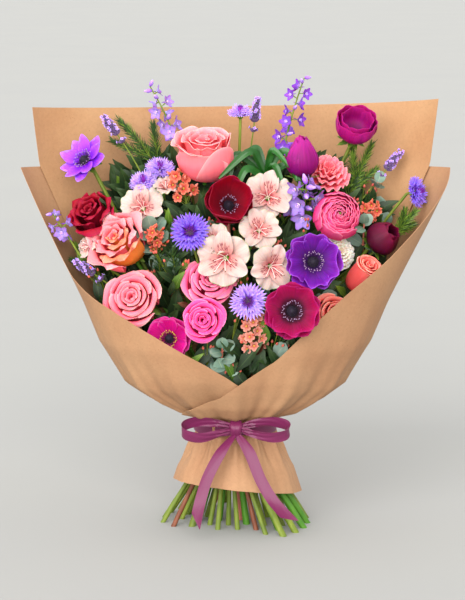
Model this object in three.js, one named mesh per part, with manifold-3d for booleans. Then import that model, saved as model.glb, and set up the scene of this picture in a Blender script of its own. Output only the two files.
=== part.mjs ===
// A hand-tied mixed bouquet in two sheets of kraft paper with a satin ribbon. Millimetres, +Z up. It
// stands on its splayed cut stems: the origin is on the surface it stands on, under the middle of its box,
// and the front faces -Y. Everything is placed round the axis of the tie, and the whole is moved to the
// origin at the end.
import * as THREE from "three";
import { mergeVertices } from "three/addons/utils/BufferGeometryUtils.js";
import Module from "manifold-3d";

const wasm = await Module();
wasm.setup();

// ---------------------------------------------------------------- driving dimensions
const TIE_Z = 115; // height of the tie, where the stems cross
const STEM_PITCH = 5.1; // distance between the stems packed at the tie
const TIE_RADIUS = 20; // the outermost stems' distance from the axis at the tie
const PACK_ROUNDS = 300; // rounds in which the stems are pushed apart at the tie
const FOOT_SPREAD = 4.1; // how much wider the stems stand at the foot than at the tie
const FOOT_TURN = 60; // degrees that the spiral turns between the tie and the foot
const THICK_SIDES = 4; // sides of a thick stem and of a thin one
const THIN_SIDES = 3;
const BENT_STEPS = 3; // straight pieces above the tie of a stem that bends round another flower
const TWINE_IN = 24.2; // inner and outer radius of the hidden binding twine
const TWINE_OUT = 26.2;
const TWINE_HIGH = 7;
const PAPER = 0.8; // thickness of the kraft paper
const PAPER_STEP = 1.45; // distance between paper layers that lie on each other
const LINER_STEP = 1.85; // how far the liner lies inside the outer sheet
const PLEAT = 15; // degrees between one fold line of the gathers and the next
const RIBBON_WIDE = 15;
const RIBBON = 0.9; // thickness of the satin ribbon
const BLADE = 0.9; // thickness of petals and leaves
const SEAT = 0.3; // gap between pieces that touch
const DEG = Math.PI / 180;

// The paper's outline: height, half width and half depth of the wrap, from the hem to the top corners.
const WRAP = [
  [20, 78, 74], [34, 74, 70], [65, 64, 55], [80, 55, 47], [106, 40.5, 33.5], [124, 40.5, 33.5],
  [131, 70, 49], [144, 94, 63], [162, 119, 75], [175, 127, 82], [210, 150, 94], [255, 169, 100],
  [290, 186, 104], [343, 212, 110], [402, 240, 117], [476, 250, 128],
];

// The gathers: height and depth of the folds.
const GATHER = [[34, 5], [80, 5], [106, 3.6], [131, 4.2], [162, 3], [200, 1], [300, 0], [480, 0]];

// ---------------------------------------------------------------- small helpers
const vec = (x, y, z) => new THREE.Vector3(x, y, z);
const mix = (a, b, t) => a + (b - a) * t;

// The direction nearest to a wanted one that is square to `ahead`.
const squareTo = (ahead, wanted) => wanted.clone().addScaledVector(ahead, -ahead.dot(wanted)).normalize();

// Points round a circle that lies on two directions square to each other.
function circle(centre, side, other, radius, count) {
  return Array.from({ length: count }, (_, k) => {
    const turn = (k / count) * 2 * Math.PI;
    return centre.clone().addScaledVector(side, radius * Math.cos(turn))
      .addScaledVector(other, radius * Math.sin(turn));
  });
}

// The value at x of a line through knots, each a list that starts with its own x.
function along(knots, x, column = 1) {
  const last = knots.length - 1;
  if (x <= knots[0][0]) return knots[0][column];
  if (x >= knots[last][0]) return knots[last][column];
  const i = knots.findIndex((knot) => knot[0] >= x);
  const t = (x - knots[i - 1][0]) / (knots[i][0] - knots[i - 1][0]);
  return mix(knots[i - 1][column], knots[i][column], t);
}

function solid(points, faces) {
  const vertProperties = new Float32Array(points.flatMap((p) => [p.x, p.y, p.z]));
  const triVerts = new Uint32Array(faces.flat());
  return new wasm.Manifold(new wasm.Mesh({ numProp: 3, vertProperties, triVerts }));
}

const fuse = (solids) => solids.reduce((sum, one) => sum.add(one));

function geometryOf(made) {
  const { vertProperties, triVerts } = made.getMesh();
  const geometry = new THREE.BufferGeometry();
  geometry.setAttribute("position", new THREE.BufferAttribute(new Float32Array(vertProperties), 3));
  geometry.setIndex(new THREE.BufferAttribute(new Uint32Array(triVerts), 1));
  geometry.computeVertexNormals();
  return geometry;
}

const MERGE = 1e-4; // points nearer than this are one

// A body turned about Z from a profile of [radius, height] that starts and ends on the axis.
function turned(profile, sides) {
  const lathe = new THREE.LatheGeometry(profile.map(([r, z]) => new THREE.Vector2(r, z)), sides);
  lathe.deleteAttribute("normal");
  lathe.deleteAttribute("uv");
  lathe.rotateX(Math.PI / 2);
  const merged = mergeVertices(lathe, MERGE);
  const at = merged.getAttribute("position");
  const points = Array.from({ length: at.count }, (_, i) => vec(at.getX(i), at.getY(i), at.getZ(i)));
  const faces = [];
  for (let i = 0; i < merged.index.count; i += 3) {
    const [a, b, c] = merged.index.array.slice(i, i + 3);
    if (a !== b && b !== c && c !== a) faces.push([a, b, c]);
  }
  const made = solid(points, faces);
  return made.volume() > 0 ? made : solid(points, faces.map(([a, b, c]) => [a, c, b]));
}

// A closed body through rings of points that turn the same way round, with flat ends.
function loft(rings) {
  const count = rings[0].length;
  const faces = [];
  for (let i = 0; i + 1 < rings.length; i += 1) {
    for (let j = 0; j < count; j += 1) {
      const a = i * count + j;
      const b = i * count + ((j + 1) % count);
      faces.push([a, b, b + count], [a, b + count, a + count]);
    }
  }
  const top = (rings.length - 1) * count;
  for (let j = 1; j + 1 < count; j += 1) faces.push([0, j + 1, j], [top, top + j, top + j + 1]);
  const made = solid(rings.flat(), faces);
  return made.volume() > 0 ? made : solid(rings.flat(), faces.map(([a, b, c]) => [a, c, b]));
}

// The way that a path runs at one of its points.
function wayAlong(path, i) {
  const next = path[Math.min(i + 1, path.length - 1)];
  return next.clone().sub(path[Math.max(i - 1, 0)]).normalize();
}

// A round rod along a path. The first ring is level where the rod is cut flat to stand on.
function rod(path, radii, sides, flatFoot = false) {
  let side = vec(1, 0.3, 0.2);
  const rings = path.map((p, i) => {
    const ahead = wayAlong(path, i);
    if (flatFoot && i === 0) ahead.set(0, 0, 1);
    side = squareTo(ahead, side);
    return circle(p, side, vec(0, 0, 0).crossVectors(ahead, side), radii[i], sides);
  });
  return loft(rings);
}

// Three points round a line from a root to a tip.
function belt(centre, root, tip, width) {
  const ahead = tip.clone().sub(root).normalize();
  const side = squareTo(ahead, vec(0.3, 1, 0.2));
  return circle(centre, side, vec(0, 0, 0).crossVectors(ahead, side), width, 3);
}

// A slim spike from a root to a tip, such as a needle or a stamen.
function spike(root, tip, width) {
  return solid([...belt(root, root, tip, width), tip], [[0, 1, 3], [1, 2, 3], [2, 0, 3], [0, 2, 1]]);
}

// A bud: two spikes back to back on one belt of points, which lies `share` of the way to the tip.
function bud(root, tip, width, share) {
  const points = [...belt(root.clone().lerp(tip, share), root, tip, width), root, tip];
  return solid(points, [[0, 1, 4], [1, 0, 3], [1, 2, 4], [2, 1, 3], [2, 0, 4], [0, 2, 3]]);
}

// A thin closed petal or leaf. Rows of points run from root to tip, and the first and last may be one point.
// The rim is sharp, inner points are doubled half a thickness each way, and both faces are split alike.
function blade(rows, thick = BLADE) {
  const points = [];
  const front = [];
  const back = [];
  const last = rows.length - 1;
  const pick = (i, j) => rows[i][Math.min(j, rows[i].length - 1)];
  rows.forEach((row, i) => {
    front.push([]);
    back.push([]);
    row.forEach((p, j) => {
      const rim = i === 0 || i === last || j === 0 || j === row.length - 1;
      front[i].push(points.length);
      back[i].push(rim ? points.length : points.length + 1);
      if (rim) {
        points.push(p);
        return;
      }
      const across = row[j + 1].clone().sub(row[j - 1]);
      const up = pick(i + 1, j).clone().sub(pick(i - 1, j));
      const out = across.cross(up).normalize().multiplyScalar(thick / 2);
      points.push(p.clone().add(out), p.clone().sub(out));
    });
  });
  const split = (grid) => {
    const faces = [];
    for (let i = 0; i < last; i += 1) {
      const low = grid[i];
      const high = grid[i + 1];
      for (let j = 0; j + 1 < Math.max(low.length, high.length); j += 1) {
        if (low.length === 1) faces.push([low[0], high[j + 1], high[j]]);
        else if (high.length === 1) faces.push([low[j], low[j + 1], high[0]]);
        else if (j < (low.length - 1) / 2 !== (i === last - 1 && i > 0)) {
          faces.push([low[j], low[j + 1], high[j + 1]], [low[j], high[j + 1], high[j]]);
        } else faces.push([low[j], low[j + 1], high[j]], [low[j + 1], high[j + 1], high[j]]);
      }
    }
    return faces;
  };
  return solid(points, [...split(front), ...split(back).map(([a, b, c]) => [a, c, b])]);
}

const LOBES = 5; // of a small flower
const NOTCH_RISE = 0.4; // how much of a lobe's rise its notches have
const STAR_MIDDLE = 0.08; // rise of a small flower's middle, as a share of its radius

// A small open flower as one cupped star: lobes and notches round a raised middle, and a funnel to its root.
function star(centre, axis, root, radius, notch, cup, roll) {
  const ahead = axis.clone().normalize();
  const side = squareTo(ahead, vec(0.2, 0.3, 1));
  const other = vec(0, 0, 0).crossVectors(ahead, side);
  const count = LOBES * 2;
  const rim = Array.from({ length: count }, (_, k) => {
    const turn = (k / count) * 2 * Math.PI + roll;
    const r = k % 2 ? radius * notch : radius;
    const rise = (k % 2 ? NOTCH_RISE : 1) * cup * radius;
    return centre.clone().addScaledVector(side, r * Math.cos(turn))
      .addScaledVector(other, r * Math.sin(turn)).addScaledVector(ahead, rise);
  });
  const faces = rim.flatMap((_, k) => {
    const next = (k + 1) % count;
    return [[k, next, count], [next, k, count + 1]];
  });
  const middle = centre.clone().addScaledVector(ahead, radius * STAR_MIDDLE);
  return solid([...rim, middle, root], faces);
}

// ---------------------------------------------------------------- keeping pieces clear of each other
const standing = []; // every solid already in its place, with its box

function stand(made, owner) {
  const box = made.boundingBox();
  standing.push({ made, box, owner });
  return made;
}

function isClear(made, ...owners) {
  const { min, max } = made.boundingBox();
  return standing.every(({ made: other, box, owner: its }) => {
    if (owners.includes(its)) return true;
    if (min.some((low, k) => low > box.max[k]) || max.some((high, k) => high < box.min[k])) return true;
    return made.intersect(other).isEmpty();
  });
}

// The first bend of a part at which it stands clear of all that is already there, or nothing.
function bentClear(make, bends, owner) {
  for (const bend of bends) {
    if (isClear(make(bend, 2 * SEAT), owner)) return make(bend, 0);
  }
  return null;
}

const root = new THREE.Group();

function addNode(name, made, colour, matrix = null, roughness = 0.7) {
  const bodies = made.decompose();
  bodies.sort((a, b) => b.volume() - a.volume());
  const material = new THREE.MeshStandardMaterial({ color: colour, roughness, metalness: 0 });
  const mesh = new THREE.Mesh(geometryOf(bodies[0]), material);
  mesh.name = name;
  if (matrix) mesh.applyMatrix4(matrix);
  root.add(mesh);
}

// ---------------------------------------------------------------- paper
// A point of the wrap, turned `phi` degrees from the front towards +X, `out` mm outside the middle layer.
function wrapPoint(phi, z, out, fold) {
  const ridge = Math.round(phi / PLEAT - 0.5) % 2 === 0 ? 1 : -1;
  const shift = out + ridge * fold;
  const a = along(WRAP, z, 1) + shift;
  const b = along(WRAP, z, 2) + shift;
  return vec(a * Math.sin(phi * DEG), -b * Math.cos(phi * DEG), z);
}

// A sheet with square edges from a grid of points of its middle surface.
function sheet(grid) {
  const rows = grid.length;
  const columns = grid[0].length;
  const points = [];
  const at = (i, j) => grid[Math.max(0, Math.min(rows - 1, i))][Math.max(0, Math.min(columns - 1, j))];
  grid.forEach((row, i) => row.forEach((p, j) => {
    const across = at(i, j + 1).clone().sub(at(i, j - 1));
    const up = at(i + 1, j).clone().sub(at(i - 1, j));
    const out = across.cross(up).normalize().multiplyScalar(PAPER / 2);
    points.push(p.clone().add(out), p.clone().sub(out));
  }));
  const faces = [];
  const quad = (a, b, c, d) => faces.push([a, b, c], [a, c, d]);
  const id = (i, j, face) => 2 * (i * columns + j) + face;
  for (let i = 0; i + 1 < rows; i += 1) {
    for (let j = 0; j + 1 < columns; j += 1) {
      quad(id(i, j, 0), id(i, j + 1, 0), id(i + 1, j + 1, 0), id(i + 1, j, 0));
      faces.push([id(i, j, 1), id(i + 1, j + 1, 1), id(i, j + 1, 1)]);
      faces.push([id(i, j, 1), id(i + 1, j, 1), id(i + 1, j + 1, 1)]);
    }
    quad(id(i, 0, 0), id(i + 1, 0, 0), id(i + 1, 0, 1), id(i, 0, 1));
    quad(id(i, columns - 1, 1), id(i + 1, columns - 1, 1), id(i + 1, columns - 1, 0), id(i, columns - 1, 0));
  }
  for (let j = 0; j + 1 < columns; j += 1) {
    quad(id(0, j, 1), id(0, j + 1, 1), id(0, j + 1, 0), id(0, j, 0));
    quad(id(rows - 1, j, 0), id(rows - 1, j + 1, 0), id(rows - 1, j + 1, 1), id(rows - 1, j, 1));
  }
  const made = solid(points, faces);
  return made.volume() > 0 ? made : solid(points, faces.map(([a, b, c]) => [a, c, b]));
}

const LOW_ROWS = [0, 0.45, 1]; // from the hem up to the tie
const HIGH_ROWS = [0, 0.026, 0.075, 0.14, 0.28, 0.6, 1]; // from the tie up to the free edge
const BAND_LOW = 106;
const BAND_HIGH = 124;

function wrapSheet(columns, heightsOf, outOf, foldOf) {
  const strips = columns.map((phi, column) => {
    return heightsOf(phi, column).map((z) => wrapPoint(phi, z, outOf(phi, column, z), foldOf(z)));
  });
  return sheet(strips[0].map((_, i) => strips.map((strip) => strip[i])));
}

// The skirt's hem: its mean height, how much it is higher in front, and how much lower towards +X.
const HEM = { mean: 43, front: 9, side: 7 };
const hem = (phi) => HEM.mean + HEM.front * Math.cos(phi * DEG) - HEM.side * Math.sin(phi * DEG);

const OUTER_TOP = 402; // height of the outer sheet's back edge at its two corners
const OUTER_DIP = 8; // how far that edge dips between them

// The two front flaps' edges: degrees from the front and height.
const NECK_LEFT = [
  [-97.5, OUTER_TOP], [-90, 325], [-82.5, 287], [-67.5, 270], [-52.5, 254], [-31, 225], [2, 174], [40, 140],
];
const NECK_RIGHT = [
  [-60, 128], [-29, 143], [-8, 159], [17, 202], [31, 242], [43, 276], [58, 310], [82.5, 376],
  [97.5, OUTER_TOP],
];
const OUTER_START = 37.5; // degrees: the outer sheet starts under its own front flap
const OUTER_COLUMNS = Array.from({ length: 31 }, (_, j) => OUTER_START - PLEAT * j);
const LEFT_CORNER = 9; // the columns at the sheet's two top corners
const RIGHT_CORNER = 20;

function outerTop(phi, column) {
  if (column <= LEFT_CORNER) return along(NECK_LEFT, phi);
  if (column >= RIGHT_CORNER) return along(NECK_RIGHT, phi + 360);
  return OUTER_TOP - OUTER_DIP * Math.sin(((column - LEFT_CORNER) / (RIGHT_CORNER - LEFT_CORNER)) * Math.PI);
}

function outerHeights(phi, column) {
  return [
    ...LOW_ROWS.map((t) => mix(hem(phi), BAND_LOW, t)),
    ...HIGH_ROWS.map((t) => mix(BAND_HIGH, outerTop(phi, column), t)),
  ];
}

const LAP_END = RIGHT_CORNER + 2; // the column from which the sheet lies one step outside its start
const outerOut = (phi, column) => PAPER_STEP * THREE.MathUtils.smoothstep(column, LEFT_CORNER, LAP_END);
const foldDepth = (z) => along(GATHER, z);

const LINER_START = 10; // the outer sheet's column that the liner's first one lies on
const BACK_COLUMNS = Array.from({ length: 10 }, (_, j) => OUTER_START - PLEAT * (LINER_START + j));
const LINER_HALF = 67.5; // degrees from the middle of the back to a corner of the liner
const LINER_TOP = 461; // height of the liner's edge at the middle of the back
const LINER_CORNER = 10; // how much higher its corners stand
const LINER_TILT = 0.07; // millimetres a degree that its edge climbs towards +X
const PINCH = 24; // how far above and below the tie the liner is pinched in
const PINCH_FOLD = 1.2; // how much deeper its gathers are there
const TWINE_GAP = 7; // from the twine to the middle of the pinched liner

function backTop(phi) {
  const fromBack = phi + 180;
  return LINER_TOP + LINER_CORNER * (fromBack / LINER_HALF) ** 2 - LINER_TILT * fromBack;
}

// The liner shares the outer sheet's heights and then stands up past it.
const linerHeights = (phi, column) => [...outerHeights(phi, column + LINER_START), backTop(phi)];

// The liner's gathers are folded in as far as the binding twine at the tie.
const pinch = (z) => Math.max(0, 1 - Math.abs(z - TIE_Z) / PINCH);
const linerFold = (z) => foldDepth(z) + pinch(z) * PINCH_FOLD;

function linerOut(phi, column, z) {
  const waist = mix(along(WRAP, TIE_Z, 2), along(WRAP, TIE_Z, 1), Math.abs(Math.sin(phi * DEG)));
  return -LINER_STEP - pinch(z) * (waist - TWINE_OUT - TWINE_GAP);
}

const outerPaper = stand(wrapSheet(OUTER_COLUMNS, outerHeights, outerOut, foldDepth), "outer");
const linerPaper = stand(wrapSheet(BACK_COLUMNS, linerHeights, linerOut, linerFold), "liner");

// ---------------------------------------------------------------- ribbon and twine
function strap(path, across, width, thick) {
  const rings = path.map((p, i) => {
    const ahead = wayAlong(path, i);
    const wide = squareTo(ahead, across[i]);
    const out = vec(0, 0, 0).crossVectors(ahead, wide).multiplyScalar(thick / 2);
    wide.multiplyScalar(width / 2);
    return [
      p.clone().sub(wide).sub(out), p.clone().add(wide).sub(out),
      p.clone().add(wide).add(out), p.clone().sub(wide).add(out),
    ];
  });
  return loft(rings);
}

// A flat ring round the tie with an oval opening.
function ovalRing(halfWide, halfDeep, thick, low, high, sides) {
  const rings = [];
  for (let k = 0; k < sides; k += 1) {
    const turn = ((k + 0.5) / sides) * 2 * Math.PI;
    const at = (grow, z) => vec((halfWide + grow) * Math.sin(turn), -(halfDeep + grow) * Math.cos(turn), z);
    rings.push([at(0, low), at(thick, low), at(thick, high), at(0, high)]);
  }
  const faces = [];
  for (let k = 0; k < sides; k += 1) {
    for (let j = 0; j < 4; j += 1) {
      const a = 4 * k + j;
      const b = 4 * k + ((j + 1) % 4);
      const c = 4 * ((k + 1) % sides) + ((j + 1) % 4);
      const d = 4 * ((k + 1) % sides) + j;
      faces.push([a, b, c], [a, c, d]);
    }
  }
  const made = solid(rings.flat(), faces);
  return made.volume() > 0 ? made : solid(rings.flat(), faces.map(([a, b, c]) => [a, c, b]));
}

const PAPER_OUT = along(GATHER, TIE_Z) + PAPER_STEP + PAPER / 2; // the paper's reach past its middle layer
const BAND_IN = [1, 2].map((column) => along(WRAP, TIE_Z, column) + PAPER_OUT + 2 * SEAT);
const KNOT_OUT = 6; // from the band to the middle of the knot
const KNOT = vec(1, -(BAND_IN[1] + KNOT_OUT), TIE_Z + 1);
const KNOT_PROFILE = [[0, -8.5], [5, -7], [6.5, 0], [5, 7], [0, 8.5]];
const KNOT_SIDES = 6;
const BAND_SIDES = 22;

// The bow's loop on +X: places [across, towards the front, up] from the root of the loop.
const LOOP = [
  [2, 0, 0], [20, 8, 6], [42, 9, 7], [59, 4, 4], [58, 3, -5], [38, 7, -10], [18, 6, -8], [2, 0, -2],
];
const LOOP_OUT = 3; // from the middle of the knot to the root of a loop
const LOOP_WIDE = 0.86 * RIBBON_WIDE; // the loops' ribbon is pressed narrower
const LOOP_ACROSS = vec(0, 0.75, 0.6); // the way that the ribbon's width lies in the loops

// The two tails, from under the knot to their cut ends.
const LEFT_TAIL = [[0, -48, 112], [-15, -62, 96], [-30, -74, 70], [-40, -85, 42], [-44, -90, 12]];
const RIGHT_TAIL = [[2, -48, 112], [16, -63, 95], [28, -75, 68], [44, -84, 42], [66, -86, 20]];
const TAIL_TILT = 0.35; // how much a tail's width tilts at the knot, and how much less at each next place
const TAIL_UNTURN = 0.08;

function bowLoop(way) {
  const path = LOOP.map(([x, y, z]) => KNOT.clone().add(vec(way * x, -y - LOOP_OUT, z)));
  return strap(path, path.map(() => LOOP_ACROSS), LOOP_WIDE, RIBBON);
}

function tail(route) {
  const path = route.map(([x, y, z]) => vec(x, y, z));
  const across = path.map((_, i) => vec(1, -0.1, TAIL_TILT - TAIL_UNTURN * i));
  return strap(path, across, RIBBON_WIDE, RIBBON);
}

const knot = turned(KNOT_PROFILE, KNOT_SIDES)
  .transform(new THREE.Matrix4().makeTranslation(KNOT).elements);
const bandEnds = [TIE_Z - RIBBON_WIDE / 2, TIE_Z + RIBBON_WIDE / 2];
const ribbonBand = ovalRing(...BAND_IN, RIBBON, ...bandEnds, BAND_SIDES);
const leftTail = tail(LEFT_TAIL);
const rightTail = tail(RIGHT_TAIL);
const ribbon = fuse([knot, ribbonBand, bowLoop(-1), bowLoop(1), leftTail, rightTail]);
stand(ribbon, "ribbon");
const TWINE_SIDES = 16;
const twineEnds = [TIE_Z - TWINE_HIGH / 2, TIE_Z + TWINE_HIGH / 2];
const twineRing = ovalRing(TWINE_IN, TWINE_IN, TWINE_OUT - TWINE_IN, ...twineEnds, TWINE_SIDES);
const twine = stand(twineRing, "twine");

// ---------------------------------------------------------------- blooms
// A ring of petals. Each row of `curve` is [radius, height, share]: the share of its place in the ring that
// a petal fills there. The root is one point, sunk in the heart. `lap` lifts one edge of each petal past the
// next one's. A bend folds a petal to the axis.
function petalRing(count, turn, curve, { lap = 0.04, pointed = false, wave = 0, drop = 0.12 } = {}) {
  const place = Math.PI / count; // half of a petal's place in the ring
  return Array.from({ length: count }, (_, k) => (bend, swell) => {
    const middle = turn * DEG + (k / count) * 2 * Math.PI;
    const rows = curve.map(([r, z, share], i) => {
      const rim = i === curve.length - 1;
      const folded = i === 0 ? r : r * (1 - bend);
      const lift = i === 0 ? z : z + bend * r * 0.5;
      if (i === 0 || (rim && pointed)) {
        return [vec(folded * Math.cos(middle), folded * Math.sin(middle), lift)];
      }
      return [-1, 0, 1].map((u) => {
        const reach = folded * (1 + lap * u) * (rim && u ? 1 - drop * 0.6 : 1);
        const angle = middle + u * share * place;
        const fall = rim && u ? drop * Math.abs(lift - curve[i - 1][1]) : 0;
        const ripple = rim && !u ? wave : 0;
        return vec(reach * Math.cos(angle), reach * Math.sin(angle), lift - fall + ripple);
      });
    });
    return blade(rows, BLADE + swell);
  });
}

// The solid heart in which the petals' roots are sunk.
const heart = (profile, sides) => (bend, swell) => {
  return turned(profile.map(([r, z]) => [r ? r + swell / 2 : 0, z]), sides);
};

const ROSE_STEP = 47; // degrees that one ring of a rose's petals is turned past the last
const ROSE_TURN = 20;

// A rose of radius R and height H, with `rings` counts of petals from the inside out.
function rose(R, H, rings) {
  const profile = [[0, 0], [R * 0.32, 0], [R * 0.36, H * 0.3], [R * 0.2, H * 0.8], [0, H * 0.74]];
  const parts = [heart(profile, 6)];
  rings.forEach((count, i) => {
    const out = (i + 1) / rings.length;
    const reach = R * mix(0.3, 1, out);
    const belly = R * mix(0.38, 0.84, out);
    const top = H * mix(1.05, 0.7, out * out);
    const root = [R * 0.25, H * mix(0.22, 0.05, out), 0.6];
    const curve = [root, [belly, H * mix(0.44, 0.3, out), 0.93], [reach, top, 0.72]];
    parts.push(...petalRing(count, i * ROSE_STEP + ROSE_TURN, curve));
  });
  return { parts, middle: H * 0.5, seat: R * 0.32 };
}

// A globe of many close petals, such as a ranunculus.
function globe(R, H) {
  const profile = [[0, 0], [R * 0.45, 0], [R * 0.6, H * 0.3], [R * 0.42, H * 0.76], [0, H * 0.8]];
  const parts = [heart(profile, 7)];
  [[4, 0.45], [5, 1]].forEach(([count, out], i) => {
    const curve = [
      [R * 0.42, H * mix(0.3, 0.06, out), 0.6],
      [R * mix(0.6, 1, out), H * mix(0.55, 0.42, out), 0.93],
      [R * mix(0.3, 0.76, out), H * mix(0.98, 0.84, out), 0.7],
    ];
    parts.push(...petalRing(count, i * 41, curve));
  });
  return { parts, middle: H * 0.5, seat: R * 0.45 };
}

// A ruffled head with its petals fanned on edge, such as a carnation.
function ruffle(R, H) {
  const profile = [[0, 0], [R * 0.34, 0], [R * 0.5, H * 0.36], [R * 0.36, H * 0.66], [0, H * 0.7]];
  const parts = [heart(profile, 7)];
  [[4, 0.55, 1], [6, 1, 0.66]].forEach(([count, out, top], i) => {
    const curve = [
      [R * 0.3, H * mix(0.4, 0.12, out), 0.5],
      [R * out * 0.84, H * top * 0.62, 0.9],
      [R * out, H * top, 0.9],
    ];
    parts.push(...petalRing(count, i * 29, curve, { lap: 0.1, wave: -R * 0.12, drop: -0.1 }));
  });
  return { parts, middle: H * 0.5, seat: R * 0.34 };
}

const ANEMONE_PETALS = 4; // in each of an anemone's two whorls

// An open anemone: two whorls of broad petals that rise by `rise`, round a dark boss of its own.
function anemone(R, rise) {
  const disc = R * 0.24;
  const parts = [heart([[0, 0], [disc, 0], [disc, R * 0.17], [0, R * 0.17]], 6)];
  const whorl = (turn, reach, root, up) => petalRing(ANEMONE_PETALS, turn, [
    [disc * 0.7, R * root, 0.5], [reach * 0.62, R * (root + up * 0.5), 0.93], [reach, R * (root + up), 0.55],
  ], { lap: 0.02, drop: 0.5 });
  parts.push(...whorl(180 / ANEMONE_PETALS, R, 0.04, rise * 0.8), ...whorl(0, R * 0.92, 0.12, rise * 1.2));
  const boss = { radius: R * 0.2, z: R * 0.17 + SEAT, reach: R * 0.34 };
  return { parts, middle: R * rise * 0.45, seat: disc, boss };
}

// A closed or half-open cup of petals.
function cup(R, H, open, count) {
  const profile = [[0, 0], [R * 0.3, 0], [R * 0.4, H * 0.24], [R * 0.2, H * 0.5], [0, H * 0.5]];
  const parts = [heart(profile, 6)];
  const whorl = (turn, out, root, top) => petalRing(count, turn, [
    [R * 0.24, H * root, 0.6], [R * out, H * 0.46, 0.95], [R * out * open, H * top, 0.35],
  ], { lap: 0.02, drop: 0.3 });
  parts.push(...whorl(0, 0.8, 0.16, 1), ...whorl(180 / count, 1, 0.04, 0.94));
  return { parts, middle: H * 0.5, seat: R * 0.3 };
}

const SMALL_HEAD = 15; // radius up to which a cornflower has no tuft

// A cornflower's trumpet florets: each is a cone from height `from` to an open end of half width `flare`,
// which reaches `reach` out and `rise` up.
function trumpets(R, count, turn, { from, reach, rise, flare }) {
  return Array.from({ length: count }, (_, k) => (bend, swell) => {
    const angle = turn + (k / count) * 2 * Math.PI;
    const out = vec(Math.cos(angle), Math.sin(angle), 0);
    const low = out.clone().multiplyScalar(R * 0.14).setZ(from);
    const tip = out.clone().multiplyScalar(reach * (1 - bend)).setZ(rise + bend * R * 0.4);
    const ahead = tip.clone().sub(low).normalize();
    const side = vec(-out.y, out.x, 0);
    const up = vec(0, 0, 0).crossVectors(ahead, side);
    const ring = (p, wide, deep) => [0, 1, 2].map((q) => {
      const around = (q / 3) * 2 * Math.PI + Math.PI / 2;
      return p.clone().addScaledVector(side, Math.cos(around) * (wide + swell / 2))
        .addScaledVector(up, Math.sin(around) * (deep + swell / 2));
    });
    return loft([ring(low, R * 0.05, R * 0.05), ring(tip, flare, flare * 0.55)]);
  });
}

// A cornflower: trumpet florets round a tuft of short ones.
function cornflower(R) {
  const parts = [heart([[0, 0], [R * 0.24, 0], [R * 0.34, R * 0.24], [0, R * 0.5]], 6)];
  const outer = { from: R * 0.16, reach: R, rise: R * 0.4, flare: R * 0.38 };
  const tuft = { from: R * 0.3, reach: R * 0.5, rise: R * 0.74, flare: R * 0.17 };
  parts.push(...trumpets(R, 6, 0, outer));
  if (R > SMALL_HEAD) parts.push(...trumpets(R, 3, 0.3, tuft));
  return { parts, middle: R * 0.35, seat: R * 0.22 };
}

// A peruvian lily: three broad and three narrow pointed petals in a funnel.
function lily(R, turn) {
  const parts = [heart([[0, -R * 0.3], [R * 0.1, -R * 0.26], [R * 0.17, R * 0.12], [0, R * 0.2]], 5)];
  const broad = [[R * 0.1, -R * 0.08, 0.4], [R * 0.62, R * 0.24, 0.56], [R * 0.97, R * 0.3, 0.26]];
  const narrow = [[R * 0.1, R * 0.06, 0.4], [R * 0.55, R * 0.36, 0.32], [R, R * 0.46, 0]];
  parts.push(...petalRing(3, turn, broad, { lap: 0.02, drop: 0.3 }));
  parts.push(...petalRing(3, turn + 60, narrow, { lap: 0.02, pointed: true }));
  return { parts, middle: R * 0.2, seat: R * 0.1, low: R * 0.3 };
}

// The way a flower looks that is turned `pan` degrees from the front towards +X and `lift` degrees up.
function facing(pan, lift) {
  const level = Math.cos(lift * DEG);
  return vec(Math.sin(pan * DEG) * level, -Math.cos(pan * DEG) * level, Math.sin(lift * DEG));
}

function poseOf(at, pan, lift, middle) {
  const ahead = facing(pan, lift);
  const side = vec(Math.cos(pan * DEG), Math.sin(pan * DEG), 0);
  const up = vec(0, 0, 0).crossVectors(ahead, side);
  const base = vec(...at).addScaledVector(ahead, -middle);
  return new THREE.Matrix4().makeBasis(side, up, ahead).setPosition(base);
}

const BENDS = [0, 0.12, 0.24, 0.4, -0.12]; // how far a petal may fold to the axis to stand clear
const TURNS = [0, 0.3, -0.3, 0.6, -0.6]; // how far a part of a stalk may turn round it, in radians
const stems = []; // where each flower or spray needs a stem: its base, its axis and the stem's radius

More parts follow.
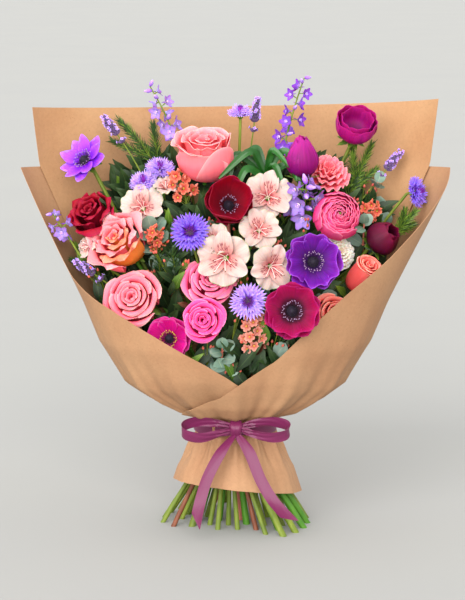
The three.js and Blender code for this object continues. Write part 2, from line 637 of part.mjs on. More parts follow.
const PEACH = 0xf59a96;
const FLOWERS = [
  // name, form, place of its middle, pan and lift of its face in degrees, colour
  ["anemone_purple", anemone(31, 0.34), [84, -76, 310], 5, 14, 0x5c14a8],
  ["anemone_magenta", anemone(30, 0.36), [61, -92, 259], 2, 14, 0xb8006f],
  ["rose_low", rose(24, 34, [3, 5]), [-34, -82, 247], -4, 14, 0xf0559c],
  ["rose_left", rose(34, 46, [3, 4, 5]), [-111, -38, 263], -16, 24, PEACH],
  ["rose_top", rose(35, 62, [3, 5]), [-33, 22, 418], 0, 72, 0xf7969c],
  ["garden_rose", rose(33, 44, [3, 4, 5]), [-126, -14, 321], -28, 34, 0xf78d95],
  ["ranunculus_pink", globe(25, 40), [113, -22, 353], 8, 18, 0xf476a4],
  ["anemone_crimson", anemone(29, 0.5), [-7, -22, 365], 4, 24, 0x9c0a30],
  ["cornflower_violet", cornflower(21), [-49, -56, 340], 0, 16, 0x7a4fd6],
  ["anemone_violet", anemone(30, 0.3), [-168, 32, 408], -38, 34, 0xa45ff0],
  ["anemone_cup", cup(22, 33, 0.9, 3), [135, 42, 444], 12, 58, 0xc00a88],
  ["anemone_closed", cup(19, 48, 0.3, 3), [74, 6, 414], -6, 84, 0xa8107c],
  ["anemone_left", cup(28, 44, 0.86, 4), [-156, 14, 347], -32, 40, 0x96082c],
  ["anemone_burgundy", cup(19, 36, 0.5, 3), [164, -12, 327], 48, 34, 0x660038],
  ["anemone_low", anemone(25, 0.42), [-73, -66, 222], -12, 8, 0xa01060],
  ["rosebud_right", rose(20, 44, [3, 4]), [142, -38, 288], 34, 46, 0xf57f70],
  ["rose_coral", rose(26, 38, [4, 5]), [104, -44, 244], 26, 20, 0xf5705e],
  ["rose_middle", rose(28, 38, [4, 5]), [-26, -40, 278], -2, 30, 0xf56d9e],
  ["carnation_coral", ruffle(25, 30), [103, 30, 392], 18, 52, 0xfb9a94],
  ["carnation_cream", ruffle(20, 26), [114, -4, 308], 22, 24, 0xf0e0d4],
  ["cornflower_low", cornflower(20), [14, -94, 270], 0, 8, 0xc09af0],
  ["cornflower_top", cornflower(14), [6, 52, 460], 0, 82, 0xbb98ec],
  ["cornflower_right", cornflower(17), [203, 22, 374], 62, 14, 0x7d52da],
  ["cornflower_pair_low", cornflower(14), [-102, 24, 384], -16, 58, 0xb68af0],
  ["cornflower_pair_high", cornflower(14), [-84, 34, 398], 10, 62, 0xb68af0],
];

const BOSS_SIDES = 5;
const STAMENS = 6;
const BOSS_COLOUR = 0x1e0a30;
const THICK_STEM = 2.1; // radius above the tie
const THIN_STEM = 1.6;
const LEAST_THICK_SEAT = 6; // blooms with a wider seat than this have a thick stem
const FOOT_SWELL = 1.5; // how much thicker a stem is at its cut foot

function addFlower(name, form, at, pan, lift, colour) {
  const pose = poseOf(at, pan, lift, form.middle);
  const kept = form.parts.map((make) => {
    const placed = (bend, swell) => make(bend, swell).transform(pose.elements);
    for (const bend of BENDS) {
      if (isClear(placed(bend, 2 * SEAT), name)) return make(bend, 0);
    }
    return null;
  });
  if (!kept[0]) throw new Error(name + " has no room for its heart");
  const whole = fuse(kept.filter(Boolean));
  stand(whole.transform(pose.elements), name);
  addNode(name, whole, colour, pose);
  const axis = vec(0, 0, 1).transformDirection(pose);
  const base = vec(0, 0, -(form.low || 0)).applyMatrix4(pose);
  stems.push({ name, base, axis, radius: form.seat > LEAST_THICK_SEAT ? THICK_STEM : THIN_STEM });
  if (form.boss) addBoss(name + "_boss", form.boss, pose);
}

// The dark boss of an anemone with its ring of stamens.
function addBoss(name, { radius, z, reach }, pose) {
  const profile = [[0, z], [radius, z], [radius * 0.92, z + radius * 0.6], [0, z + radius]];
  const parts = [turned(profile, BOSS_SIDES)];
  for (let k = 0; k < STAMENS; k += 1) {
    const angle = (k / STAMENS) * 2 * Math.PI;
    const tip = vec(reach * Math.cos(angle), reach * Math.sin(angle), z + reach * 0.5);
    const low = vec(radius * 0.5 * Math.cos(angle), radius * 0.5 * Math.sin(angle), z + radius * 0.3);
    parts.push(spike(low, tip, radius * 0.16));
  }
  const whole = fuse(parts);
  stand(whole.transform(pose.elements), name);
  addNode(name, whole, BOSS_COLOUR, pose);
}

for (const flower of FLOWERS) addFlower(...flower);

// Peruvian lilies: each cluster is one piece, its flowers joined by short stalks to one knot below them.
const LILIES = [
  // name, knot, colour, the flowers: place of its middle, radius, pan, lift, turn
  ["lily_cluster_centre", [6, -34, 292], 0xf6d6cc, [
    [[-12, -64, 312], 27, -14, 10, 30], [[40, -66, 303], 22, 18, 2, 10], [[27, -44, 341], 20, 8, 34, 50],
  ]],
  ["lily_white", [38, 8, 350], 0xf8e8e2, [[[36, -14, 374], 25, 0, 40, 20]]],
  ["lily_left", [-92, 14, 340], 0xf8e2da, [[[-103, 2, 360], 22, -20, 44, 40]]],
  ["lily_far_left", [-146, 2, 300], 0xf6b8a8, [[[-163, -6, 317], 16, -56, 26, 0]]],
];

const LILY_AXIS = vec(0, -0.2, 1).normalize(); // the way a cluster's stem points below its knot
const LILY_KNOT = 4; // length of the knot
const LILY_STALK_SIDES = 4;
const STALK_BOW = 20; // how far a stalk that is turned by one radian bows back and down

function addLilies(name, knotAt, colour, flowers) {
  const foot = vec(...knotAt);
  const knotPoint = foot.clone().addScaledVector(LILY_AXIS, LILY_KNOT);
  const knotEnd = knotPoint.clone().addScaledVector(LILY_AXIS, 1);
  const kept = [rod([foot, knotPoint, knotEnd], [1.7, 1.7, 1.5], LILY_STALK_SIDES)];
  for (const [at, R, pan, lift, turn] of flowers) {
    const form = lily(R, turn);
    const pose = poseOf(at, pan, lift, form.middle);
    const base = vec(0, 0, -form.low + 1).applyMatrix4(pose);
    const stalkOf = (bend, swell) => {
      const middle = base.clone().lerp(knotPoint, 0.5).add(vec(0, STALK_BOW * bend, -STALK_BOW * bend));
      const radii = [1.6, 1.3, 1.3].map((radius) => radius + swell / 2);
      return rod([knotPoint, middle, base], radii, LILY_STALK_SIDES);
    };
    const stalk = bentClear(stalkOf, TURNS, name);
    if (!stalk) throw new Error(name + " has no room for a stalk");
    kept.push(stalk);
    for (const make of form.parts) {
      const part = bentClear((bend, swell) => make(bend, swell).transform(pose.elements), BENDS, name);
      if (part) kept.push(part);
    }
  }
  const whole = fuse(kept);
  stand(whole, name);
  addNode(name, whole, colour);
  stems.push({ name, base: foot, axis: LILY_AXIS, radius: THIN_STEM });
}

for (const cluster of LILIES) addLilies(...cluster);

// ---------------------------------------------------------------- stems
// Places at the tie: each stem's own wish, pushed apart until no two are nearer than a stem's thickness.
function packedPlaces(wishes) {
  const places = wishes.map((p) => p.clone());
  for (let round = 0; round < PACK_ROUNDS; round += 1) {
    places.forEach((p, i) => places.slice(i + 1).forEach((q) => {
      const apart = p.clone().sub(q);
      const near = apart.length();
      if (near >= STEM_PITCH) return;
      apart.multiplyScalar((STEM_PITCH - near) / (2 * near));
      p.add(apart);
      q.sub(apart);
    }));
    for (const p of places) {
      const out = Math.hypot(p.x, p.y);
      if (out > TIE_RADIUS) p.multiply(vec(TIE_RADIUS / out, TIE_RADIUS / out, 1));
    }
  }
  return places;
}

function footOf(place) {
  const spiral = place.clone().setZ(0).applyAxisAngle(vec(0, 0, 1), FOOT_TURN * DEG);
  return spiral.multiplyScalar(FOOT_SPREAD).setZ(0);
}

// Where a straight stem to this base would pass the tie, which is the place that suits it best.
function wantedPlace(base) {
  const k = (base.z - TIE_Z) / TIE_Z;
  const turn = FOOT_TURN * DEG;
  const a = 1 + k - k * FOOT_SPREAD * Math.cos(turn);
  const b = -k * FOOT_SPREAD * Math.sin(turn);
  const size = a * a + b * b;
  return vec((a * base.x + b * base.y) / size, (a * base.y - b * base.x) / size, TIE_Z);
}

const LEAVE_SHARE = 0.42; // of its length, over which a stem keeps its way above the tie
const ARRIVE_SHARE = 0.22; // and over which it follows its flower's axis
const NECK_SHARE = 4; // length of the straight neck under a flower, in radii of its stem

function stemRoute(place, base, axis, sway) {
  const up = place.clone().sub(footOf(place)).normalize();
  const length = base.distanceTo(place);
  const leave = place.clone().addScaledVector(up, length * LEAVE_SHARE).add(sway);
  const arrive = base.clone().addScaledVector(axis, -length * ARRIVE_SHARE).add(sway);
  return new THREE.CubicBezierCurve3(place, leave, arrive, base);
}

// How far a stem may sway to pass another flower, tried in this order.
const SWAYS = [
  [0, 0, 0], [0, 18, 0], [0, -18, 0], [18, 0, 0], [-18, 0, 0], [0, 36, -10], [24, 24, 0], [-24, 24, 0],
];

const FORKS = [0.8, 0.65, 0.5, 0.35, 0.2]; // where a branch may leave its stem's first piece above the tie
const FORK_SHARE = 0.4; // how thick a branch starts, inside its stem
const stemPaths = new Map();

// The first of several paths along which a rod stands clear, as that rod.
function clearRod(name, paths, radius, hasFoot) {
  const footShare = hasFoot ? FOOT_SWELL : FORK_SHARE;
  const sides = radius < THICK_STEM ? THIN_SIDES : THICK_SIDES;
  const rodOn = (path, swell) => {
    const radii = path.map((_, i) => radius * (i ? 1 : footShare) + swell / 2);
    return rod(path, radii, sides, hasFoot);
  };
  const path = paths.find((one) => isClear(rodOn(one, 2 * SEAT), name, "stem_bundle"));
  if (!path) throw new Error(name + " has no room for a stem");
  stemPaths.set(name, path);
  return rodOn(path, 0);
}

function growStem({ name, base, axis, radius }, place) {
  const seatPoint = base.clone().addScaledVector(axis, -SEAT);
  const neck = base.clone().addScaledVector(axis, -NECK_SHARE * radius);
  const paths = SWAYS.map((sway) => {
    const steps = sway.some(Boolean) ? BENT_STEPS : 1;
    return [footOf(place), ...stemRoute(place, neck, axis, vec(...sway)).getPoints(steps), seatPoint];
  });
  return clearRod(name, paths, radius, true);
}

function growBranch({ name, base, axis, radius }, host) {
  const seatPoint = base.clone().addScaledVector(axis, -SEAT);
  const neck = base.clone().addScaledVector(axis, -NECK_SHARE * radius);
  const [, low, high] = stemPaths.get(host);
  const paths = SWAYS.flatMap((sway) => FORKS.map((t) => {
    const fork = low.clone().lerp(high, t);
    const bend = fork.clone().lerp(neck, 0.5).add(vec(...sway));
    return sway.some(Boolean) ? [fork, bend, neck, seatPoint] : [fork, neck, seatPoint];
  }));
  return clearRod(name, paths, Math.min(radius, THIN_STEM), false);
}

// ---------------------------------------------------------------- sprays
// A stalk on a gentle curve from its base to its tip, leaning out by `bow` mm at the middle.
function stalkLine(from, to, bow) {
  const middle = from.clone().lerp(to, 0.5).add(vec(...bow));
  return new THREE.QuadraticBezierCurve3(from, middle, to);
}

// A direction across a stalk, turned `turn` radians round it.
function acrossStalk(ahead, turn) {
  return squareTo(ahead, vec(0, 1, 0.2)).applyAxisAngle(ahead, turn);
}

const GOLDEN_TURN = 137.508 * DEG;

// Whorls of a lavender: distance below the tip and length of the buds. The lowest stands apart.
const WHORLS = [[36, 4], [14, 5], [8, 4.6], [2, 4.2]];
const WHORL_BUDS = 3;
const LAVENDER_BUD = 1.5; // half width of a bud
const LAVENDER_TIP = { below: 3, above: 4, width: 1.4 };

function lavender(line, length) {
  const parts = [];
  WHORLS.forEach(([below, size], w) => {
    const t = 1 - below / length;
    const p = line.getPoint(t);
    const ahead = line.getTangent(t);
    for (let k = 0; k < WHORL_BUDS; k += 1) {
      parts.push((bend, swell) => {
        const out = acrossStalk(ahead, ((2 * k + w) / WHORL_BUDS) * Math.PI + bend);
        const tip = p.clone().addScaledVector(out, size).addScaledVector(ahead, size * 0.9);
        return bud(p, tip, LAVENDER_BUD + swell / 2, 0.6);
      });
    }
  });
  const top = line.getPoint(1);
  const ahead = line.getTangent(1);
  const low = top.clone().addScaledVector(ahead, -LAVENDER_TIP.below);
  const high = top.clone().addScaledVector(ahead, LAVENDER_TIP.above);
  parts.push((bend, swell) => bud(low, high, LAVENDER_TIP.width + swell / 2, 0.45));
  return parts;
}

// A place out from the stalk, where a flower is held.
function heldOut(line, t, turn, reach, rise) {
  const ahead = line.getTangent(t);
  const out = acrossStalk(ahead, turn);
  const at = line.getPoint(t).addScaledVector(out, reach).addScaledVector(ahead, rise);
  return { at, out, ahead, root: line.getPoint(t) };
}

// Larkspur: spurred star flowers from the share `from` of the stalk up, smaller towards the tip.
function larkspur(count, from, size) {
  return (line) => Array.from({ length: count }, (_, k) => (bend, swell) => {
    const t = mix(from, 1, k / (count - 1));
    const radius = size * mix(1, 0.62, t) + swell / 2;
    const turn = k * GOLDEN_TURN + 0.5 + bend * 2;
    const { at, out, ahead, root } = heldOut(line, t, turn, size * (1 - Math.abs(bend)), 2);
    const axis = out.addScaledVector(ahead, 0.15).add(vec(0, -0.5, 0)).normalize();
    return star(at, axis, root, radius, 0.52, 0.35, k);
  });
}

// Waxflower: small five-lobed flowers and buds crowded at the end of a thin stalk.
function waxflower(count, spread, size, buds) {
  return (line) => Array.from({ length: count + buds }, (_, k) => (bend, swell) => {
    const t = mix(0.45, 1, k / (count + buds - 1));
    const reach = spread * mix(1, 0.45, t) * (1 - Math.abs(bend));
    const { at, out, ahead, root } = heldOut(line, t, k * GOLDEN_TURN + bend * 2, reach, size * 0.8);
    if (k >= count) return bud(root, at.addScaledVector(ahead, size * 0.6), size * 0.36 + swell / 2, 0.75);
    return star(at, out.add(vec(0, -0.9, 0.2)).normalize(), root, size + swell / 2, 0.62, 0.3, k);
  });
}

// A leaf from its root: `out` points along it and `face` is roughly square to it. `droop` curls it down,
// `cut` is the depth of the notches in its edges, and `low` is the share of its width near the root.
function leafBlade(from, out, face, length, width, droop, swell, cut = 0, low = 0.85) {
  const side = vec(0, 0, 0).crossVectors(out, face).normalize();
  const at = (t) => from.clone().addScaledVector(out, length * t)
    .addScaledVector(face, -droop * length * t * t);
  const row = (t, share, fold) => [-1, 0, 1].map((u) => at(t)
    .addScaledVector(side, u * share * width / 2).addScaledVector(face, Math.abs(u) * fold * width));
  const rows = [[at(0)], row(0.3, low, 0.08), row(0.62, 1, 0.06)];
  if (cut) rows.splice(2, 0, row(0.46, 1 - cut, 0.1));
  rows.push([at(1)]);
  return blade(rows, BLADE + swell);
}

// Eucalyptus: pairs of round leaves up the stalk, each pair turned past the last, and one leaf at the tip.
function eucalyptus(pairs, size, round = 0.9) {
  return (line) => Array.from({ length: pairs * 2 + 1 }, (_, k) => {
    const pair = Math.floor(k / 2);
    const isTip = pair === pairs;
    const t = isTip ? 1 : mix(0.3, 0.92, pair / Math.max(1, pairs - 1));
    return (bend, swell) => {
      const ahead = line.getTangent(t);
      const turn = pair * 1.4 + (k % 2) * Math.PI + 1.2 + bend * 2;
      const out = isTip ? ahead.clone() : acrossStalk(ahead, turn).addScaledVector(ahead, 0.55).normalize();
      const face = ahead.clone().addScaledVector(out, -ahead.dot(out)).add(vec(0, -0.4, 0));
      face.addScaledVector(out, -face.dot(out)).normalize();
      const length = size * mix(1.15, 0.75, t);
      return leafBlade(line.getPoint(t), out, face, length, length * round, 0.12, swell);
    };
  });
}

const NEEDLES_FROM = 0.15; // share of a twig below its first needle
const NEEDLE_LEAN = 1.1; // how much a needle leans forwards, and how much the one at the tip does
const TIP_LEAN = 9;

// A needled twig: needles lean forwards all round a slim stalk.
function needles(count, length) {
  return (line) => Array.from({ length: count }, (_, k) => {
    const t = mix(NEEDLES_FROM, 1, k / (count - 1));
    return (bend, swell) => {
      const ahead = line.getTangent(t);
      const lean = k === count - 1 ? TIP_LEAN : NEEDLE_LEAN;
      const out = acrossStalk(ahead, k * GOLDEN_TURN + bend).addScaledVector(ahead, lean).normalize();
      const p = line.getPoint(t);
      return spike(p, p.clone().addScaledVector(out, length * mix(1, 0.7, t)), 0.6 + swell / 2);
    };
  });
}

// Broad strap leaves that curl over at their tips: way across and up, length, width and droop of each.
const STRAPS = [
  [-1, 0.2, 34, 12, 0.5], [-0.7, 0.55, 30, 11, 0.45], [0.35, 0.8, 26, 11, 0.35], [0.9, 0.1, 22, 10, 0.4],
];

function strapLeaves(line) {
  return STRAPS.map(([x, z, length, width, droop]) => (bend, swell) => {
    const out = vec(x, -0.35 + bend, z).normalize();
    const face = squareTo(out, vec(0, -0.5, 1));
    return leafBlade(line.getPoint(1), out, face, length, width, droop, swell);
  });
}

const LILAC = 0xa878e0;
const LAVENDER = 0x7a5aa0;
const WAX = 0xf0aa90;
const GREY_GREEN = 0x82a08a;
const NEEDLE_GREEN = 0x3f6a34;
const SPRAYS = [
  // name, colour, base, tip, bow of the stalk, stalk radius, the parts it carries
  ["larkspur_left_top", LILAC, [-52, 52, 380], [-96, 68, 488], [8, 0, 6], 1.3, larkspur(6, 0.45, 8.5)],
  ["larkspur_right_top", LILAC, [50, 46, 390], [78, 62, 498], [-6, 0, 0], 1.4, larkspur(9, 0.2, 9.5)],
  ["larkspur_middle", LILAC, [76, 6, 330], [78, -26, 388], [0, 6, 0], 1.4, larkspur(6, 0.35, 10)],
  ["larkspur_left", LILAC, [-178, -2, 310], [-206, 2, 352], [0, 0, 2], 1.2, larkspur(4, 0.4, 8.5)],
  ["lavender_left_top", LAVENDER, [-102, 48, 384], [-148, 62, 453], [4, 0, 4], 1, lavender],
  ["lavender_top", LAVENDER, [17, 58, 410], [25, 62, 473], [0, 0, 0], 1, lavender],
  ["lavender_right", LAVENDER, [128, 30, 346], [186, 56, 414], [0, 0, 0], 1, lavender],
  ["lavender_left_low", LAVENDER, [-134, -14, 270], [-176, -14, 300], [0, 0, 2], 1, lavender],
  ["waxflower_low", WAX, [18, -46, 186], [20, -80, 248], [0, -14, 0], 1.4, waxflower(8, 17, 7, 3)],
  ["waxflower_left", 0xe8705c, [-82, -2, 296], [-88, -26, 334], [0, 0, 0], 1.2, waxflower(3, 9, 5, 6)],
  ["waxflower_upper", 0xf09078, [-52, 10, 344], [-62, 6, 392], [4, 0, 0], 1.2, waxflower(4, 15, 7, 4)],
  ["waxflower_right", 0xe8a898, [140, 14, 326], [152, 8, 358], [0, 0, 0], 1.2, waxflower(4, 11, 5.5, 3)],
  ["eucalyptus_low", GREY_GREEN, [-14, -46, 176], [-14, -78, 214], [0, -4, 0], 1.4, eucalyptus(3, 17)],
  ["eucalyptus_right", GREY_GREEN, [140, 34, 330], [160, 42, 380], [0, 0, 0], 1.3, eucalyptus(2, 19)],
  ["eucalyptus_middle_right", GREY_GREEN, [143, 10, 306],
    [142, -18, 342], [0, 0, 0], 1.3, eucalyptus(2, 20, 0.75)],
  ["eucalyptus_left", GREY_GREEN, [-86, 12, 306], [-96, -10, 346], [0, 0, 0], 1.3, eucalyptus(3, 18)],
  ["fir_left_top", NEEDLE_GREEN, [-68, 46, 372], [-130, 70, 448], [0, 0, 8], 1.3, needles(18, 18)],
  ["fir_right", 0x5f8a2c, [122, 42, 352], [154, 60, 422], [0, 0, 0], 1.3, needles(16, 16)],
  ["fir_left_low", NEEDLE_GREEN, [-148, 12, 272], [-184, 14, 312], [0, 0, -2], 1.2, needles(13, 15)],
  ["fir_right_low", 0x5f8a2c, [172, 6, 322], [200, 10, 352], [0, 0, 0], 1.2, needles(12, 15)],
  ["strap_leaves", 0x1f9410, [38, 20, 372], [34, 14, 398], [0, 0, 0], 1.5, strapLeaves],
];

for (const [name, , from, to] of SPRAYS) {
  const axis = vec(...to).sub(vec(...from)).normalize();
  stems.push({ name, base: vec(...from), axis, radius: THIN_STEM });
}

// What branches from another's stem instead of having its own at the tie.
const BRANCHES = {
  cornflower_pair_high: "cornflower_pair_low",
  cornflower_low: "cornflower_violet",
  lily_far_left: "lily_left",
  lily_white: "lily_cluster_centre",
  rosebud_right: "rose_coral",
  rose_middle: "rose_low",
  carnation_cream: "carnation_coral",
  waxflower_upper: "waxflower_left",
  eucalyptus_middle_right: "eucalyptus_right",
  fir_left_low: "fir_left_top",
  fir_right_low: "fir_right",
  larkspur_middle: "larkspur_right_top",
  larkspur_left: "larkspur_left_top",
  lavender_left_low: "lavender_left_top",
};

// Collars of cut leaves and sepals on the stems, close below their blooms.
const COLLARS = [
  // bloom, leaves, distance below it, length and width of a leaf, its lean to the bloom, depth of its notches
  ["rose_top", 5, 1.5, 21, 8, 0.55, 0],
  ["rose_top", 5, 9, 33, 13, 0.05, 0.4],
  ["anemone_cup", 5, 6, 20, 11, 0.3, 0.4],
  ["anemone_closed", 4, 4, 22, 12, 0.55, 0.4],
  ["anemone_burgundy", 4, 3, 20, 11, 0.4, 0.4],
  ["anemone_violet", 3, 5, 17, 10, 0.1, 0.4],
  ["rosebud_right", 3, 1.5, 17, 8, 0.6, 0],
];

const COLLAR_LOW = 0.42; // share of its width that a collar's leaf has near its root

function addCollar(name, count, below, length, width, lean, cut) {
  const { base, axis } = stems.find((stem) => stem.name === name);
  const from = base.clone().addScaledVector(axis, -below);
  for (let k = 0; k < count; k += 1) {
    const leaf = bentClear((bend, swell) => {
      const turn = (k / count) * 2 * Math.PI + bend;
      const out = acrossStalk(axis, turn).addScaledVector(axis, lean - Math.abs(bend) * 0.5).normalize();
      const face = axis.clone().addScaledVector(out, -axis.dot(out)).normalize();
      return leafBlade(from, out, face, length, width, 0.15, swell, cut, COLLAR_LOW);
    }, [...TURNS, 0.9], "stem_bundle");
    if (leaf) bundle.push(stand(leaf, "stem_bundle"));
  }
}

const bundle = [];
const tied = stems.filter(({ name }) => !BRANCHES[name]);
const places = packedPlaces(tied.map((stem) => wantedPlace(stem.base)));
tied.forEach((stem, i) => bundle.push(stand(growStem(stem, places[i]), "stem_bundle")));
for (const stem of stems.filter(({ name }) => BRANCHES[name])) {
  bundle.push(stand(growBranch(stem, BRANCHES[stem.name]), "stem_bundle"));
}
for (const collar of COLLARS) addCollar(...collar);

const STALK_SIDES = 4;
const STALK_STEPS = 4;
const STALK_TIP = 0.6; // how thick a stalk ends, as a share of its radius
const STALK_PUSHES = [0, 1, -1, 2, -2]; // steps by which a stalk's middle may be pushed to stand clear
const PUSH_SIDE = 7; // millimetres a step to +X and to the back
const PUSH_BACK = 5;

function addSpray(name, colour, from, to, bow, radius, carried) {
  const ends = [vec(...from), vec(...to)];
  const length = ends[0].distanceTo(ends[1]);
  for (const push of STALK_PUSHES) {
    const line = stalkLine(ends[0], ends[1], [bow[0] + PUSH_SIDE * push, bow[1] + PUSH_BACK * push, bow[2]]);
    const path = line.getPoints(STALK_STEPS);
    const radii = path.map((_, i) => radius * mix(1, STALK_TIP, i / STALK_STEPS));
    const stalkOf = (swell) => rod(path, radii.map((r) => r + swell / 2), STALK_SIDES);
    if (!isClear(stalkOf(SEAT), name)) continue;
    const parts = carried(line, length);
    const kept = parts.map((make) => bentClear(make, TURNS, name)).filter(Boolean);
    const whole = fuse([stalkOf(0), ...kept]);
    stand(whole, name);
    addNode(name, whole, colour);
    return;
  }
  throw new Error(name + " has no room for its stalk");
}

for (const spray of SPRAYS) addSpray(...spray);

// The stems are pressed into one body at the tie.
const CORE_RADIUS = 23.4;
const CORE_HALF = 2; // half the height over which they are one
const CORE_SIDES = 12;
const coreLow = TIE_Z - CORE_HALF;
const coreHigh = TIE_Z + CORE_HALF;
const coreProfile = [[0, coreLow], [CORE_RADIUS, coreLow], [CORE_RADIUS, coreHigh], [0, coreHigh]];
addNode("stem_bundle", fuse([turned(coreProfile, CORE_SIDES), ...bundle]), 0x5f9a2e);

addNode("paper_outer_sheet", outerPaper, 0xc9986c);
addNode("paper_liner_sheet", linerPaper, 0xd8a87c);
addNode("satin_ribbon", ribbon, 0xa0426e, null, 0.4);
addNode("binding_twine", twine, 0xb59a6a);

// The group is moved so that the origin is under the middle of its box.
const box = new THREE.Box3().setFromObject(root);
root.position.set(-(box.min.x + box.max.x) / 2, -(box.min.y + box.max.y) / 2, 0);

export default root;
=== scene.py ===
import math
import random

import bpy
import numpy as np
from mathutils import Matrix, Vector


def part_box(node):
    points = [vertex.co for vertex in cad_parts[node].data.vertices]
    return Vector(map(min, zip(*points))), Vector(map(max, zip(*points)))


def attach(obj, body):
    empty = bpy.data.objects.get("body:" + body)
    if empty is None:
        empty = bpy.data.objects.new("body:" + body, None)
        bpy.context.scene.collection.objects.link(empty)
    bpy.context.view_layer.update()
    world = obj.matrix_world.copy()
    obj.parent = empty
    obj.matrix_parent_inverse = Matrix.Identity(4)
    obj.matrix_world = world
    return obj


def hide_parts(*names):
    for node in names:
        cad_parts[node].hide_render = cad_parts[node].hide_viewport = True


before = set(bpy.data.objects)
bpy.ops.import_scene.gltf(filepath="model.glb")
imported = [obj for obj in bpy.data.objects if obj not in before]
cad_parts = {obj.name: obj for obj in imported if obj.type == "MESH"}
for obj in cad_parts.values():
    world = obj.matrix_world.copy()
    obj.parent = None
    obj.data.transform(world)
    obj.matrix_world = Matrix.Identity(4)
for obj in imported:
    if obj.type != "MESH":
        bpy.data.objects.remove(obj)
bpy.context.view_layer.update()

# The looks of a hand-tied bouquet in kraft paper. Pieces are shaped in millimetres round the tie's axis, with
# the front facing -Y, and are moved to the frame, in metres, when they are finished.
MM = 0.001
DEG = math.pi / 180
GOLDEN_TURN = 137.508 * DEG
TIE_Z = 115.0  # height of the tie
PETAL = 0.4  # thickness of petals
LEAF = 0.45  # thickness of leaves
TINY = 1e-9  # keeps a divisor off zero
ANY_TURN = 6.3  # a little over a full turn, for random turns
twine_low, twine_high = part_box("binding_twine")
AXIS = Vector(((twine_low.x + twine_high.x) / 2, (twine_low.y + twine_high.y) / 2, 0))
TO_FRAME = Matrix.Translation(AXIS) @ Matrix.Scale(MM, 4)
# The outline of the paper: height, half width and half depth
WRAP = [
    (20, 78, 74), (34, 74, 70), (65, 64, 55), (80, 55, 47), (106, 40.5, 33.5), (124, 40.5, 33.5),
    (131, 70, 49), (144, 94, 63),
    (162, 119, 75), (175, 127, 82), (210, 150, 94), (255, 169, 100), (290, 186, 104), (343, 212, 110),
    (402, 240, 117), (476, 250, 128),
]


# ---------------------------------------------------------------- curves and grids
def vec(x, y, z):
    return np.array((x, y, z), float)


def polar(turn, far, z):
    return vec(math.cos(turn) * far, math.sin(turn) * far, z)


def unit(a):
    return a / np.linalg.norm(a)


def mix(a, b, t):
    return a + (b - a) * t


def ease(a, b, x):
    t = np.clip((x - a) / (b - a), 0, 1)
    return t * t * (3 - 2 * t)


def spline(knots, t):
    """Points at t, from 0 to 1, of a smooth curve through the knots."""
    knots = np.asarray(knots, float)
    last = len(knots) - 1
    x = np.clip(t, 0, 1) * last
    i = np.minimum(np.asarray(x).astype(int), last - 1)
    f = (x - i)[..., None]
    before, start, end, after = knots[np.maximum(i - 1, 0)], knots[i], knots[i + 1], knots[np.minimum(i + 2,
        last)]
    bend = 2 * before - 5 * start + 4 * end - after
    twist = 3 * start - before - 3 * end + after
    return 0.5 * (2 * start + (end - before) * f + bend * f**2 + twist * f**3)


def along(knots, x, column=1):
    """The value at x of straight lines through knots, each of which starts with its own x."""
    knots = np.asarray(knots, float)
    return np.interp(x, knots[:, 0], knots[:, column])


def deselect():
    bpy.ops.object.select_all(action="DESELECT")


BLANKS = {}


def blank(columns, rows):
    """A flat grid primitive as its points across (-1 to 1) and along (0 to 1), its faces and its UVs."""
    if (columns, rows) not in BLANKS:
        deselect()
        bpy.ops.mesh.primitive_grid_add(x_subdivisions=columns, y_subdivisions=rows, size=2)
        grid = bpy.context.object
        points = np.array([v.co for v in grid.data.vertices])
        faces = [tuple(face.vertices) for face in grid.data.polygons]
        across, up = points[:, 0], (points[:, 1] + 1) / 2
        BLANKS[columns, rows] = across, up, faces, np.stack([(across + 1) / 2, up], 1)
        bpy.ops.object.delete()
    return BLANKS[columns, rows]


def model_bud():
    """A bud 2 long and 2 wide: a ball drawn out to a point at its top."""
    deselect()
    bpy.ops.mesh.primitive_uv_sphere_add(segments=8, ring_count=6, radius=1)
    ball = bpy.context.object
    bpy.ops.object.mode_set(mode="EDIT")
    bpy.ops.mesh.select_all(action="DESELECT")
    bpy.ops.object.mode_set(mode="OBJECT")
    for v in ball.data.vertices:
        v.select = v.co.z > 0.4
    bpy.ops.object.mode_set(mode="EDIT")
    bpy.ops.transform.resize(value=(0.7, 0.7, 1), center_override=(0, 0, 0))
    bpy.ops.object.mode_set(mode="OBJECT")
    points = np.array([v.co for v in ball.data.vertices])
    faces = [tuple(face.vertices) for face in ball.data.polygons]
    bpy.ops.object.delete()
    return points, faces


BUD = model_bud()


class Heap:
    """The parts of one piece: thin sheets, which get a thickness, and closed solids."""

    def __init__(self, seed=1):
        self.sheets = []
        self.solids = []
        self.rng = random.Random(seed)

    def draw(self, low=0, high=1):
        return self.rng.uniform(low, high)

    def jitter(self, size):
        return self.draw(-size, size)


